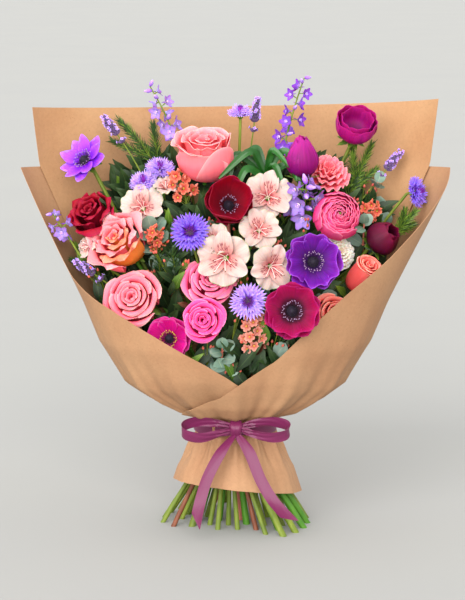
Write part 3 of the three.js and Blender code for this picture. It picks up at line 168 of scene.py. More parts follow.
def petal(heap, turn, curve, spread, hug=1.0, root=0.4, swell=0.5, tip=0.0, drop=0.25, corner=2.5, cup=0.0,
          ruffle=0.0, waves=3.0, edge=0.0, lap=0.0, size=(8, 8), tone=0.5, finish=0, fold=0.0, teeth=(0, 0.0),
          twist=0.0):
    """A petal along a curve of (radius, height) knots, `spread` radians to each side of its middle.

    `hug` bends it round the axis, `root` is its width at the root and `swell` where it is widest, `tip` narrows
    its end, `drop` rounds its corners and `corner` says how late, `cup` hollows it, `ruffle` waves its rim in
    `waves`, `edge` turns its sides out, `lap` lifts one side over the next petal, `fold` creases it along the
    middle, `teeth` gives the number and the depth of the teeth on its rim, and `twist` turns it round the axis
    on its way up."""
    across, up, faces, uvs = blank(*size)
    reach = up * (1 - drop * np.abs(across) ** corner)
    reach = reach - teeth[1] * up**2 * np.abs(np.cos(teeth[0] * math.pi * across / 2)) if teeth[0] else reach
    at = spline(curve, reach)
    slope = spline(curve, reach + 0.02) - spline(curve, reach - 0.02)
    slope /= np.maximum(np.linalg.norm(slope, axis=1), TINY)[:, None]
    out = np.stack([slope[:, 1], -slope[:, 0]], 1)
    width = root + (1 - root) * np.sin(np.clip(up / swell, 0, 1) * math.pi / 2)
    width *= 1 - tip * np.clip((up - swell) / max(1 - swell, TINY), 0, 1) ** 1.5
    side = across * width
    push = lap * side - cup * side**2 + edge * np.abs(side) ** 3 * up**2 - fold * np.abs(side)
    push += ruffle * up**3 * np.sin(waves * math.pi * side + heap.draw(0, ANY_TURN))
    at = at + out * push[:, None]
    flat = (1 - hug) * spread * side * np.max(np.asarray(curve)[:, 0])
    angle = turn + hug * spread * side + twist * up
    points = np.stack([
        at[:, 0] * np.cos(angle) - flat * math.sin(turn),
        at[:, 0] * np.sin(angle) + flat * math.cos(turn),
        at[:, 1],
    ], 1)
    heap.sheets.append((points, faces, uvs, tone, finish))
    return points


def across_of(ahead, turn):
    """A direction square to `ahead`, turned round it."""
    side = vec(0, 1, 0.2)
    side = unit(side - ahead * side.dot(ahead))
    other = np.cross(ahead, side)
    return side * math.cos(turn) + other * math.sin(turn)


def leaf(heap, start, out, face, length, width, outline="lance", droop=0.15, fold=0.1, wave=0.0, cuts=0,
    cut=0.4,
         size=(6, 12), tone=0.5, finish=0):
    """A leaf from `start` along `out`, with its upper side to `face`. Its outline is lance-shaped or round, and
    `cuts` is the number of teeth on a side."""
    across, up, faces, uvs = blank(*size)
    out, face = unit(out), unit(face - unit(out) * unit(out).dot(face))
    side = np.cross(out, face)
    if outline == "round":
        shape = np.sqrt(np.clip(1 - (2 * up - 1) ** 2, 0.0008, 1))
    else:
        shape = np.sin(math.pi * np.clip(up, 0.02, 0.985) ** 0.8) ** 0.9
    if cuts:
        shape = shape * (1 - cut * (up * cuts % 1.0))
    lateral = across * shape * width / 2
    rise = -droop * length * up**2 + fold * width * np.abs(across) * shape
    rise = rise + wave * np.sin(up * 9 + 2 * across) * np.abs(across)
    points = start + np.outer(length * up * (1 - 0.1 * droop * up), out) + np.outer(lateral, side)
    heap.sheets.append((points + np.outer(rise, face), faces, uvs, tone, finish))


def tube(heap, path, radii, sides=8, tone=0.5, finish=0, level=False):
    """A closed round tube along a path. `level` cuts its first end flat to stand on."""
    path = np.asarray(path, float)
    radii = np.broadcast_to(radii, len(path))
    ahead = np.gradient(path, axis=0)
    ahead /= np.linalg.norm(ahead, axis=1)[:, None]
    length = np.concatenate([[0], np.cumsum(np.linalg.norm(np.diff(path, axis=0), axis=1))])
    if level:
        ahead[0] = vec(0, 0, 1)
    side = vec(1, 0.31, 0.22)
    points, uvs = [], []
    for p, d, r, far in zip(path, ahead, radii, length):
        side = unit(side - d * side.dot(d))
        other = np.cross(d, side)
        for k in range(sides):
            turn = 2 * math.pi * k / sides
            points.append(p + side * (r * math.cos(turn)) + other * (r * math.sin(turn)))
            uvs.append((k / sides, far / 100))
    faces = []
    for i in range(len(path) - 1):
        for k in range(sides):
            a, b = i * sides + k, i * sides + (k + 1) % sides
            faces.append((a, b, b + sides, a + sides))
    faces.append(tuple(range(sides))[::-1])
    faces.append(tuple(range((len(path) - 1) * sides, len(path) * sides)))
    heap.solids.append((np.array(points), faces, np.array(uvs), tone, finish))


def needle(heap, start, end, width, tone=0.5, finish=0):
    tube(heap, [start, mix(start, end, 0.6), end], [width, width * 0.8, width * 0.15], 3, tone, finish)


def ball(heap, start, end, width, tone=0.5, finish=0):
    """A bud or berry from its root to its tip."""
    ahead = unit(end - start)
    side = across_of(ahead, 0.4)
    basis = np.stack([side * width, np.cross(ahead, side) * width, (end - start) / 2], 0)
    points = BUD[0] @ basis + (start + end) / 2
    uvs = np.stack([BUD[0][:, 0] / 2 + 0.5, BUD[0][:, 2] / 2 + 0.5], 1)
    heap.solids.append((points, BUD[1], uvs, tone, finish))


def mesh_of(name, parts):
    """One object from parts of (points, faces, UVs, tone, finish)."""
    points = np.concatenate([part[0] for part in parts])
    uvs = np.concatenate([part[2] for part in parts])
    tones = np.concatenate([np.full(len(part[0]), part[3]) for part in parts])
    faces, finishes, start = [], [], 0
    for part in parts:
        faces.extend(tuple(i + start for i in face) for face in part[1])
        finishes.extend([part[4]] * len(part[1]))
        start += len(part[0])
    mesh = bpy.data.meshes.new(name)
    mesh.from_pydata(points.tolist(), [], faces)
    corners = np.zeros(len(mesh.loops), np.int32)
    mesh.loops.foreach_get("vertex_index", corners)
    mesh.uv_layers.new(name="UVMap").data.foreach_set("uv", uvs[corners].astype(np.float32).ravel())
    mesh.attributes.new("tone", "FLOAT", "POINT").data.foreach_set("value", tones.astype(np.float32))
    mesh.polygons.foreach_set("material_index", np.array(finishes, np.int32))
    piece = bpy.data.objects.new(name, mesh)
    bpy.context.scene.collection.objects.link(piece)
    return piece


def apply_modifier(piece, kind, **settings):
    deselect()
    bpy.context.view_layer.objects.active = piece
    piece.select_set(True)
    modifier = piece.modifiers.new(kind.title(), kind)
    for key, value in settings.items():
        setattr(modifier, key, value)
    bpy.ops.object.modifier_apply(modifier=modifier.name)


def make_piece(name, heap, nodes, finishes, pose=Matrix.Identity(4), thick=PETAL, smooth=50):
    """Joins a heap's parts into one finished piece that stands for the named CAD nodes."""
    made = []
    if heap.sheets:
        sheets = mesh_of(name, heap.sheets)
        apply_modifier(sheets, "SOLIDIFY", thickness=thick, offset=0)
        made.append(sheets)
    if heap.solids:
        solids = mesh_of(name + "_solids", heap.solids)
        deselect()
        bpy.context.view_layer.objects.active = solids
        solids.select_set(True)
        bpy.ops.object.mode_set(mode="EDIT")
        bpy.ops.mesh.select_all(action="SELECT")
        bpy.ops.mesh.normals_make_consistent(inside=False)
        bpy.ops.object.mode_set(mode="OBJECT")
        made.append(solids)
    deselect()
    for one in made:
        one.select_set(True)
        for finish in finishes:
            one.data.materials.append(finish)
    bpy.context.view_layer.objects.active = made[0]
    if len(made) > 1:
        bpy.ops.object.join()
    piece = made[0]
    piece.name = name
    piece.data.transform(TO_FRAME @ pose)
    bpy.ops.object.shade_smooth_by_angle(angle=smooth * DEG)
    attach(piece, "root")
    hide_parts(*nodes)
    return piece


# ---------------------------------------------------------------- finishes
def linear(code):
    """A linear colour from a six-digit code of a screen colour."""
    parts = [int(code[i:i + 2], 16) / 255 for i in (0, 2, 4)]
    return tuple(c / 12.92 if c <= 0.04045 else ((c + 0.055) / 1.055) ** 2.4 for c in parts) + (1.0,)


def title(key):
    """The socket that a keyword names, such as IOR Level for ior_level."""
    return key.replace("_", " ").title().replace("Ior", "IOR")


class Finish:
    """A material of nodes round one surface shader."""

    def __init__(self, name, **surface):
        self.material = bpy.data.materials.new(name)
        self.material.use_nodes = True
        self.tree = self.material.node_tree
        self.shader = self.tree.nodes["Principled BSDF"]
        for key, value in surface.items():
            self.shader.inputs[title(key)].default_value = value

    def node(self, kind, settings=None, **inputs):
        made = self.tree.nodes.new("ShaderNode" + kind)
        for key, value in (settings or {}).items():
            setattr(made, key, value)
        for key, value in inputs.items():
            socket = made.inputs[int(key[1:])] if key[1:].isdigit() else made.inputs[title(key)]
            if isinstance(value, bpy.types.NodeSocket):
                self.tree.links.new(value, socket)
            else:
                socket.default_value = value
        return made

    def ramp(self, value, stops, smooth=False):
        made = self.node("ValToRGB", Fac=value)
        if smooth:
            made.color_ramp.interpolation = "EASE"
        elements = made.color_ramp.elements
        while len(elements) > len(stops):
            elements.remove(elements[-1])
        while len(elements) < len(stops):
            elements.new(0.5)
        for element, (at, colour) in zip(elements, sorted(stops, key=lambda stop: stop[0])):
            element.position = at
            element.color = linear(colour) if isinstance(colour, str) else (colour, colour, colour, 1)
        return made.outputs["Color"]

    def noise(self, coordinate, scale, stretch=(1, 1, 1), detail=3.0, at=(0, 0, 0)):
        mapped = self.node("Mapping", Vector=coordinate, Scale=stretch, Location=at)
        return self.node("TexNoise", Vector=mapped.outputs[0], Scale=scale, Detail=detail).outputs["Fac"]

    def math(self, operation, a, b=0.5):
        return self.node("Math", {"operation": operation}, i0=a, i1=b).outputs[0]

    def blend(self, a, b, share, kind="MIX"):
        made = self.node("Mix", {"data_type": "RGBA", "blend_type": kind})
        for socket, value in ((made.inputs[0], share), (made.inputs[6], a), (made.inputs[7], b)):
            if isinstance(value, bpy.types.NodeSocket):
                self.tree.links.new(value, socket)
            else:
                socket.default_value = value
        return made.outputs[2]

    def toned(self, colour, low=0.86, high=1.12):
        """The colour made darker or lighter by each part's own tone."""
        tone = self.node("Attribute", {"attribute_name": "tone"}).outputs["Fac"]
        value = self.node("MapRange", Value=tone, To_Min=low, To_Max=high).outputs[0]
        return self.node("HueSaturation", Color=colour, Value=value).outputs["Color"]

    def finish(self, colour, bump=None, strength=0.2, distance=0.0005):
        self.tree.links.new(colour, self.shader.inputs["Base Color"])
        if bump is not None:
            made = self.node("Bump", Height=bump, Strength=strength, Distance=distance)
            self.tree.links.new(made.outputs["Normal"], self.shader.inputs["Normal"])
        return self.material


def colour_stops(text):
    """Places and colours from a line such as "0 ff8088, 1 ffb0ac"."""
    return [(float(at), code) for at, code in (stop.split() for stop in text.split(","))]


def petal_finish(name, stops, vein=0.08, fleck=None, rim=None, veins=34):
    """Petal colours from root to rim, with fine veins, a soft mottle, and flecks or a paler rim on some."""
    f = Finish(name, roughness=0.6, specular_ior_level=0.2, subsurface_weight=0.3, subsurface_scale=0.003)
    coords = f.node("TexCoord")
    uv = coords.outputs["UV"]
    parts = f.node("SeparateXYZ", Vector=uv)
    colour = f.ramp(parts.outputs["Y"], colour_stops(stops), smooth=True)
    lines = f.noise(uv, 1.0, (veins, 2.2, 1), 2.0)
    dark = f.ramp(lines, [(0.35, 1 - vein), (0.6, 1.0)])
    colour = f.blend(colour, dark, 1.0, "MULTIPLY")
    cloud = f.ramp(f.noise(coords.outputs["Object"], 70), [(0.3, 0.94), (0.7, 1.0)])
    colour = f.blend(colour, cloud, 1.0, "MULTIPLY")
    if rim:
        wavy = f.math("ADD", parts.outputs["Y"], f.math("MULTIPLY", lines, 0.03))
        edge = f.ramp(wavy, [(0.95, 0.0), (1.0, 0.7)])
        colour = f.blend(colour, linear(rim), edge)
    if fleck:
        code, low, high, dense = fleck
        spots = f.ramp(f.noise(uv, 1.0, (26, 7, 1), 0.0), [(dense, 0.0), (dense + 0.04, 1.0)])
        zone = f.ramp(parts.outputs["Y"], [(low - 0.08, 0.0), (low, 1.0), (high, 1.0), (high + 0.1, 0.0)])
        middle = f.math("SUBTRACT", parts.outputs["X"], 0.5)
        inner = f.ramp(f.math("ABSOLUTE", middle), [(0.26, 1.0), (0.36, 0.0)])
        colour = f.blend(colour, linear(code), f.math("MULTIPLY", f.math("MULTIPLY", spots, zone), inner))
    return f.finish(f.toned(colour, 0.9, 1.12), lines, 0.12, 0.0004)


def leaf_finish(name, stops, rib, roughness=0.45, bloom=None, ribs=15.0):
    """Leaf colours from root to tip, with a pale midrib, side veins and, on waxy leaves, a pale bloom."""
    f = Finish(name, roughness=roughness, subsurface_weight=0.05, subsurface_scale=0.003)
    coords = f.node("TexCoord")
    parts = f.node("SeparateXYZ", Vector=coords.outputs["UV"])
    colour = f.ramp(parts.outputs["Y"], colour_stops(stops))
    off = f.math("ABSOLUTE", f.math("SUBTRACT", parts.outputs["X"], 0.5))
    slanted = f.math("SUBTRACT", parts.outputs["Y"], f.math("MULTIPLY", off, 0.9))
    wave = f.math("ABSOLUTE", f.math("SINE", f.math("MULTIPLY", slanted, ribs * math.pi)))
    side = f.ramp(wave, [(0.0, 0.35), (0.16, 0.0)])
    middle = f.ramp(off, [(0.012, 0.8), (0.035, 0.0)])
    colour = f.blend(colour, linear(rib), f.math("MAXIMUM", side, middle))
    mottle = f.ramp(f.noise(coords.outputs["Object"], 90), [(0.3, 0.82), (0.7, 1.0)])
    colour = f.blend(colour, mottle, 1.0, "MULTIPLY")
    if bloom:
        cloud = f.ramp(f.noise(coords.outputs["Object"], 45), [(0.42, 0.0), (0.7, 0.6)])
        colour = f.blend(colour, linear(bloom), cloud)
    return f.finish(f.toned(colour, 0.8, 1.15), f.math("ADD", middle, side), 0.2, 0.0005)


def plain_finish(name, low, high, scale=160.0, roughness=0.6, sheen=0.0):
    """Two close colours in a fine mottle, for stems, buds, needles and the dark hearts of flowers."""
    f = Finish(name, roughness=roughness, sheen_weight=sheen)
    grain = f.noise(f.node("TexCoord").outputs["Object"], scale, (1, 1, 0.3))
    return f.finish(f.toned(f.ramp(grain, [(0.3, low), (0.7, high)]), 0.85, 1.15), grain, 0.3, 0.0004)


def kraft_finish(name, low, high, speck):
    """Kraft paper: pale and dark fibres, specks and a faint unevenness."""
    f = Finish(name, roughness=0.72, specular_ior_level=0.3)
    coords = f.node("TexCoord").outputs["Object"]
    cloud = f.noise(coords, 14, detail=4)
    colour = f.ramp(cloud, [(0.3, low), (0.7, high)])
    fibre = f.noise(coords, 300, detail=4)
    colour = f.blend(colour, f.ramp(fibre, [(0.35, 0.95), (0.65, 1.03)]), 1.0, "MULTIPLY")
    specks = f.ramp(f.noise(coords, 800, detail=1, at=(3, 1, 2)), [(0.70, 0.0), (0.76, 0.55)])
    colour = f.blend(colour, linear(speck), specks)
    height = f.math("ADD", f.math("MULTIPLY", cloud, 2.5), fibre)
    return f.finish(colour, height, 0.14, 0.0006)


def satin_finish():
    """Satin ribbon: a close weave across the strip under a soft sheen."""
    f = Finish("satin_mauve", roughness=0.42, sheen_weight=0.04, specular_ior_level=0.4, anisotropic=0.3)
    uv = f.node("TexCoord").outputs["UV"]
    threads = f.noise(uv, 1.0, (60, 900, 1), 1)
    colour = f.ramp(threads, [(0.3, "611741"), (0.7, "721f4e")])
    return f.finish(colour, threads, 0.12, 0.0002)


GREEN = plain_finish("stem_green", "3c780c", "548a14")
OLIVE = plain_finish("stem_olive", "566c14", "788622")
PINKISH = plain_finish("stem_pink", "b45c4c", "cc7c68")
BROWN = plain_finish("stem_brown", "643018", "84482a")
DARK = plain_finish("flower_heart_dark", "0a0410", "1c0c28", 500, 0.8)
ANTHER = plain_finish("anther_pale", "6a3f6e", "b79ab8", 900, 0.6)
YELLOW = plain_finish("anther_yellow", "9c7a10", "d8b648", 900, 0.6)
THREAD = plain_finish("filament_pale", "f2d8d0", "fbeee6", 300, 0.5)
TAN = plain_finish("anther_brown", "6b3a22", "8f5636", 900, 0.6)
GREEN_LEAF = leaf_finish("leaf_green", "0 36590e, 0.5 4c7115, 1 6c8b26", "87a149", 0.55)
# A very dark leaf green: the own colour of the dark collar leaves, and painted shade on the filler leaves that
# stand deep in the gaps
DARK_LEAF_AND_PAINTED_SHADE = leaf_finish("leaf_dark_and_painted_shade", "0 0f240a, 0.6 1c3611, 1 324c1b", "45602b", 0.6)
GREY_LEAF = leaf_finish("leaf_eucalyptus", "0 456650, 0.5 648271, 1 738d7a", "92a582", 0.6, "8b9d90", 9)
STRAP_LEAF = leaf_finish("leaf_strap", "0 043702, 0.6 095005, 1 256913", "25661b", 0.36, None, 0.0)
BROWN_LEAF = leaf_finish("leaf_brown", "0 3a190a, 0.6 542711, 1 6a3a15", "784c27", 0.6)

# ---------------------------------------------------------------- blooms
def ring(heap, count, turn, curve, spread, tones=(0.2, 0.8), wobble=0.06, **shape):
    for k in range(count):
        angle = turn + 2 * math.pi * k / count + heap.jitter(wobble)
        tone = heap.draw(*tones)
        grow = 1 + heap.jitter(0.03)
        bent = [(r * grow, z * (1 + heap.jitter(0.02))) for r, z in curve]
        petal(heap, angle, bent, spread * math.pi / count, tone=tone, **shape)


def rose(heap, R, H, heart=9, outer=11, closed=0.0, ruffled=0.02, second=None):
    """A rose: petals in a spiral whose rims roll out over the next ones, close in the heart and broad outside.
    `closed` keeps the outer ones up. `second` gives the petals that face a range of angles another finish."""
    count = heart + outer
    for k in range(count):
        s = k / (count - 1)
        wall = R * mix(0.05, mix(0.8, 0.9, closed), s ** mix(1.25, 0.8, closed))
        crest = mix(0.93, 1.0, ease(0, 0.3, s)) - (1 - closed) * 0.36 * max(0.0, (s - 0.25) / 0.75) ** 1.4
        top = H * (crest + heap.jitter(mix(0.008, 0.05, s * closed)))
        waist = H * mix(0.5, 0.4, s)
        flare = R * mix(0.07, 0.22, s) * heap.draw(0.8, 1.25) * mix(1, 0.7, closed)
        angle = k * GOLDEN_TURN + heap.jitter(0.22)
        neck = wall * mix(1, 0.86, closed)
        curve = [
            (R * 0.04, H * 0.02), (wall * mix(0.7, 0.84, closed), H * 0.1), (wall, waist),
            (mix(wall, neck, 0.6), mix(waist, top, 0.62)),
            (neck + flare * 0.25, mix(waist, top, 0.92)), (neck + flare * 0.8, top),
            (neck + flare * 1.15, top - flare * 0.45),
        ]
        finish = 1 if second and math.cos(angle - second[0]) > second[1] else 0
        petal(heap, angle, curve, mix(1.7, mix(1.0, 1.25, closed), min(1, s * 1.6)),
              lap=max(R * 0.02, wall * 0.07),
              ruffle=R * ruffled * (0.2 + s), swell=0.5, drop=mix(0.1, mix(0.2, 0.3, closed), s), corner=1.9,
              edge=R * 0.06 * s * (1 - closed),
              size=(12, 12), root=mix(0.5, 0.9, closed), tone=mix(0.25, 0.8, s) + heap.jitter(0.15),
              finish=finish,
              waves=heap.draw(1.5, 3.2), twist=mix(0.15, 0.55, closed))


# The large petals of a half open rose: turn, wall, top, flare, spread, how far its sides are cut, root, ruffle
# and tone
CUP_PETALS = (
    (100, 0.60, 1.0, 0.12, 1.1, 0.15, 0.5, 0.06, 0.8), (10, 0.56, 0.97, 0.12, 1.1, 0.2, 0.5, 0.05, 0.7),
    (200, 0.60, 1.0, 0.18, 1.0, 0.16, 0.5, 0.07, 0.8), (285, 0.56, 0.9, 0.1, 1.1, 0.3, 0.5, 0.05, 0.5),
    (60, 0.78, 1.0, 0.14, 1.0, 0.2, 0.5, 0.05, 0.75), (150, 0.80, 0.99, 0.24, 1.0, 0.2, 0.5, 0.07, 0.85),
    (212, 0.84, 0.94, 0.32, 0.95, 0.22, 0.5, 0.07, 0.85), (250, 0.94, 0.84, 0.06, 1.2, 0.42, 0.4, 0.03, 0.65),
    (4, 0.86, 1.05, 0.05, 0.7, 0.5, 0.7, 0.02, 0.75), (-50, 1.0, 0.95, -0.03, 1.1, 0.72, 0.9, 0.02, 0.55),
)


def cupped_rose(heap, R, H):
    """A half open rose seen from its side: a few large petals that cross, round ruffled inner ones."""
    for k in range(6):
        wall = R * (0.08 + 0.08 * k)
        curve = [(R * 0.04, H * 0.2), (wall, H * 0.5), (wall, H * 0.85), (wall + R * 0.06, H * 0.96),
            (wall + R * 0.1, H * 0.95)]
        petal(heap, k * GOLDEN_TURN, curve, 1.4, lap=R * 0.03, ruffle=R * 0.03, swell=0.5, drop=0.15,
              size=(10, 10), tone=0.4)
    for turn, wall, top, flare, spread, drop, root, ruffled, tone in CUP_PETALS:
        curve = [
            (R * 0.04, 0), (R * wall * 0.5, H * 0.05), (R * wall * 0.84, H * 0.2), (R * wall, H * 0.46),
            (R * wall * 0.97, H * top * 0.75),
            (R * (wall * 0.96 + flare * 0.4), H * top * 0.93), (R * (wall * 0.96 + flare), H * top),
        ]
        petal(heap, turn * DEG, curve, spread, lap=R * 0.04, ruffle=R * ruffled, swell=0.4, drop=drop,
              corner=mix(2.2, 1.3, (drop - 0.15) / 0.63),
              size=(18, 18), root=root, tone=tone + heap.jitter(0.08), waves=heap.draw(2.0, 3.4), edge=R * 0.03)


def globe(heap, R, H):
    """A ranunculus: many close thin petals round a small eye."""
    for i, out in enumerate((0.16, 0.28, 0.4, 0.52, 0.64, 0.76, 0.88, 1.0)):
        count = 4 + i // 2
        top = H * (mix(0.92, 0.8, out) + heap.jitter(0.03)) + R * 0.05 * math.sin(i * 2.1)
        curve = [
            (R * 0.3 * out, H * mix(0.35, 0.05, out)), (R * out, H * mix(0.5, 0.3, out)),
            (R * mix(0.9, 1, out) * out, H * mix(0.8, 0.56, out)),
            (R * mix(0.62, 0.86, out) * out, top),
        ]
        ring(heap, count, i * 1.13, curve, 1.4, wobble=0.3, lap=R * 0.05, drop=0.16, corner=2.4,
             ruffle=R * 0.025, size=(10, 8))
    ball(heap, vec(0, 0, H * 0.55), vec(0, 0, H * 0.9), R * 0.12, 0.2, 1)


def ruffle(heap, R, H):
    """A carnation: many petals fanned on edge, their rims toothed and waved."""
    for i, (out, top) in enumerate(((0.26, 1.0), (0.46, 1.0), (0.66, 0.92), (0.84, 0.78), (1.0, 0.58))):
        curve = [(R * 0.1, H * 0.25), (R * out * 0.45, H * top * 0.6), (R * out * 0.8, H * top * 0.94),
            (R * out, H * top)]
        ring(heap, 4 + i, i * 0.7, curve, 1.5, wobble=0.3, ruffle=R * 0.11, waves=3.0, teeth=(5, 0.08),
             drop=0.1, size=(14, 8),
             root=0.3, swell=0.8, tones=(0.4, 1.0))


def anemone(heap, R, rise, count=6, waves=2.0, wide=1.25, tip=0.0, ruffled=0.05, curl=0.0):
    """An open anemone: two whorls of broad petals. `tip` points them and `curl` turns them in."""
    disc = R * 0.2
    for turn, reach, root, up in ((0.0, R, 0.04, rise * 0.8), (math.pi / count, R * 0.93, 0.12, rise * 1.2)):
        curve = [
            (disc * 0.6, R * root), (reach * 0.42, R * (root + up * 0.2)),
            (reach * 0.78, R * (root + up * 0.6)),
            (reach * (1 - curl), R * (root + up * (1 + curl))),
        ]
        ring(heap, count, turn, curve, wide, wobble=0.12, cup=R * 0.06, ruffle=R * ruffled, waves=waves,
             drop=0.3, corner=2.0,
             hug=0.8, swell=0.62, root=0.35, tip=tip, size=(10, 10))


BOSS_BUMPS, STAMENS = 46, 56


def boss(heap, R):
    """The dark boss of an anemone with its ring of stamens."""
    z = R * 0.17
    ball(heap, vec(0, 0, z - R * 0.16), vec(0, 0, z + R * 0.2), R * 0.19, 0.4, 0)
    for k in range(BOSS_BUMPS):
        a, high = k * GOLDEN_TURN, 1 - (k + 0.5) / BOSS_BUMPS
        flat = math.sqrt(max(0.0, 1 - high * high))
        at = vec(math.cos(a) * flat * R * 0.17, math.sin(a) * flat * R * 0.17, z + high * R * 0.16)
        needle(heap, at, at + vec(math.cos(a) * flat, math.sin(a) * flat, high) * R * 0.035, R * 0.016, 0.9, 0)
    for k in range(STAMENS):
        a = 2 * math.pi * k / STAMENS + heap.jitter(0.08)
        far = R * heap.draw(0.26, 0.36)
        low, tip = polar(a, R * 0.16, z), polar(a, far, z + R * heap.draw(0.08, 0.2))
        tube(heap, [low, mix(low, tip, 0.6) + vec(0, 0, R * 0.02), tip], 0.16, 3, 0.3, 0)
        ball(heap, tip, tip + unit(tip - low) * 1.7, 0.55, heap.draw(), 1)


def cup(heap, R, H, open_, count):
    """A closed or half-open cup of two whorls of petals."""
    for i, (out, root, top) in enumerate(((0.78, 0.16, 1), (1, 0.04, 0.94))):
        rim = R * out * open_
        curve = [(R * 0.14, H * root), (R * out * 0.72, H * (root + 0.12)), (R * out, H * 0.46),
            (mix(R * out, rim, 0.55), H * 0.78), (rim, H * top)]
        ring(heap, count, i * math.pi / count, curve, 1.45, ruffle=R * 0.05, drop=0.3, corner=2.2, swell=0.55,
             size=(12, 10))


# The florets of a cornflower: count, reach, rise, spread and tone of each whorl
FLORET_WHORLS = ((10, 1.09, 0.36, 1.5, 0.6), (9, 0.93, 0.54, 1.4, 0.75), (7, 0.68, 0.72, 1.4, 0.4))
FULL_TUFT, SMALL_TUFT = 26, 10


def cornflower(heap, R, tuft=True):
    """A cornflower: toothed trumpet florets round a tuft of dark ones."""
    for count, reach, rise, spread, tone in FLORET_WHORLS:
        for k in range(count):
            angle = 2 * math.pi * (k + 0.37 * count) / count + heap.jitter(0.12)
            far, high = R * reach * heap.draw(0.9, 1.0), R * rise * heap.draw(0.8, 1.2)
            for flip in (1, -1):
                curve = [(R * 0.12, R * 0.12), (far * 0.5, high * 0.6),
                    (far * 0.8, high * 0.86 + flip * R * 0.04), (far, high + flip * R * 0.16)]
                petal(heap, angle, curve, spread * math.pi / count / 2 * 1.3, root=0.12, swell=1.0,
                      cup=-flip * R * 0.16, teeth=(3, 0.34),
                      drop=0.22, hug=0.9, size=(6, 6), tone=tone + heap.jitter(0.2))
    for k in range(FULL_TUFT if tuft else SMALL_TUFT):
        a, lean = k * GOLDEN_TURN, 0.5 * math.sqrt((k + 0.5) / FULL_TUFT)
        far = R * 0.62 * lean
        tip = polar(a, far, R * mix(0.9, 0.68, lean * 2))
        low = polar(a, far * 0.5, R * 0.25)
        tube(heap, [low, mix(low, tip, 0.5), tip], [0.5, 0.42, 0.5], 4, heap.draw(), 1)
        ball(heap, tip, tip + unit(tip - low) * 2.0, 0.55, heap.draw(), 2)
    calyx = [(0.06, -0.2), (0.22, -0.1), (0.27, 0.06), (0.19, 0.24), (0.14, 0.28)]
    tube(heap, [vec(0, 0, R * z) for r, z in calyx], [R * r for r, z in calyx], 10, 0.3, 3)


def lily(heap, R, turn):
    """A peruvian lily: three broad and three narrower petals in a funnel, with curved stamens."""
    base = turn * DEG
    broad = [(R * 0.08, -R * 0.22), (R * 0.22, 0), (R * 0.6, R * 0.22), (R * 0.98, R * 0.2)]
    narrow = [(R * 0.07, -R * 0.18), (R * 0.2, R * 0.1), (R * 0.55, R * 0.32), (R, R * 0.34)]
    for k in range(3):
        angle = base + k * 2 * math.pi / 3
        petal(heap, angle, broad, 0.86, hug=0.7, root=0.16, swell=0.72, tip=0.26, drop=0.2, corner=1.6,
              cup=R * 0.04, ruffle=R * 0.09,
              size=(14, 12), tone=heap.draw(0.3, 0.8), waves=3.6, fold=R * 0.05)
        petal(heap, angle + math.pi / 3, narrow, 0.62, hug=0.65, root=0.2, swell=0.62, tip=0.42, drop=0.2,
              corner=1.5, cup=R * 0.1,
              size=(12, 12), tone=heap.draw(0.3, 0.8), finish=1, ruffle=R * 0.05)
    for k in range(6):
        a = base + k * 1.047 + 0.4
        far = R * heap.draw(0.3, 0.46)
        tip = vec(math.cos(a) * far, math.sin(a) * far - R * 0.12, R * heap.draw(0.42, 0.56))
        tube(heap,
             [vec(0, 0, -R * 0.15), polar(a, far * 0.3, R * 0.2), mix(vec(0, 0, R * 0.2), tip, 0.75), tip],
             [0.45, 0.4, 0.32, 0.3], 5, 0.6, 2)
        ball(heap, tip, tip + vec(0.3, -0.5, 1.0) * 1.4, 0.7, 0.5, 3)
    tube(heap, [vec(0, 0, -R * 0.42), vec(0, 0, -R * 0.24), vec(0, 0, -R * 0.05)],
         [R * 0.07, R * 0.13, R * 0.1], 8, 0.5, 4)


def facing(pan, lift):
    p, a = pan * DEG, lift * DEG
    return vec(math.sin(p) * math.cos(a), -math.cos(p) * math.cos(a), math.sin(a))


def pose_of(at, pan, lift, middle):
    """Where a bloom stands: its middle is at `at` and its axis points to `pan` and `lift`."""
    ahead = facing(pan, lift)
    side = vec(math.cos(pan * DEG), math.sin(pan * DEG), 0)
    up = np.cross(ahead, side)
    base = vec(*at) - ahead * middle
    return Matrix([[side[i], up[i], ahead[i], base[i]] for i in range(3)] + [[0, 0, 0, 1]])


def place(points, pose):
    m = np.array(pose)
    return points @ m[:3, :3].T + m[:3, 3]


PEACH = petal_finish("petal_peach", "0 f8506a, 0.5 fc6c78, 0.8 ff8088, 0.95 ff949a, 1 ffb0ac", 0.05)
PEACH_PALE = petal_finish("petal_peach_pale", "0 f44c6c, 0.55 f85c74, 0.8 ff7688, 0.94 ff8e9a, 1 ffaea4", 0.05)
APRICOT = petal_finish("petal_apricot", "0 e88c20, 0.5 f08038, 0.8 f87858, 1 ff9880", 0.05)
HOT_PINK = petal_finish("petal_hot_pink", "0 f03070, 0.55 f22e78, 0.85 fc4890, 1 ff7cac", 0.05)
ROSE_PINK = petal_finish("petal_rose_pink", "0 f03c70, 0.6 f65084, 0.85 ff6c96, 1 ff94a8", 0.05)
CORAL = petal_finish("petal_coral", "0 e83a40, 0.5 f85a58, 0.85 ff7c70, 1 ffa490", 0.05)
RANUNCULUS = petal_finish("petal_ranunculus", "0 e01c60, 0.6 f03478, 0.9 fa5490, 1 ff84ac", 0.05)
CARNATION = petal_finish("petal_carnation", "0 f04860, 0.6 f86878, 0.9 ff8090, 1 ffa4a6", 0.05)
CREAM = petal_finish("petal_cream", "0 f0cfa8, 0.6 fbe8d4, 1 fff4ea")
VIOLET = petal_finish("petal_violet", "0 50088c, 0.3 8420d8, 0.7 a84cf4, 1 bc78ff", 0.16)
PURPLE = petal_finish("petal_purple", "0 1a0028, 0.3 40005e, 0.75 620a8c, 1 8024aa", 0.22, rim="9450cc",
    veins=46)
MAGENTA = petal_finish("petal_magenta", "0 15000f, 0.32 410020, 0.58 83003c, 0.85 9a0049, 1 ac1966", 0.18,
    veins=44)
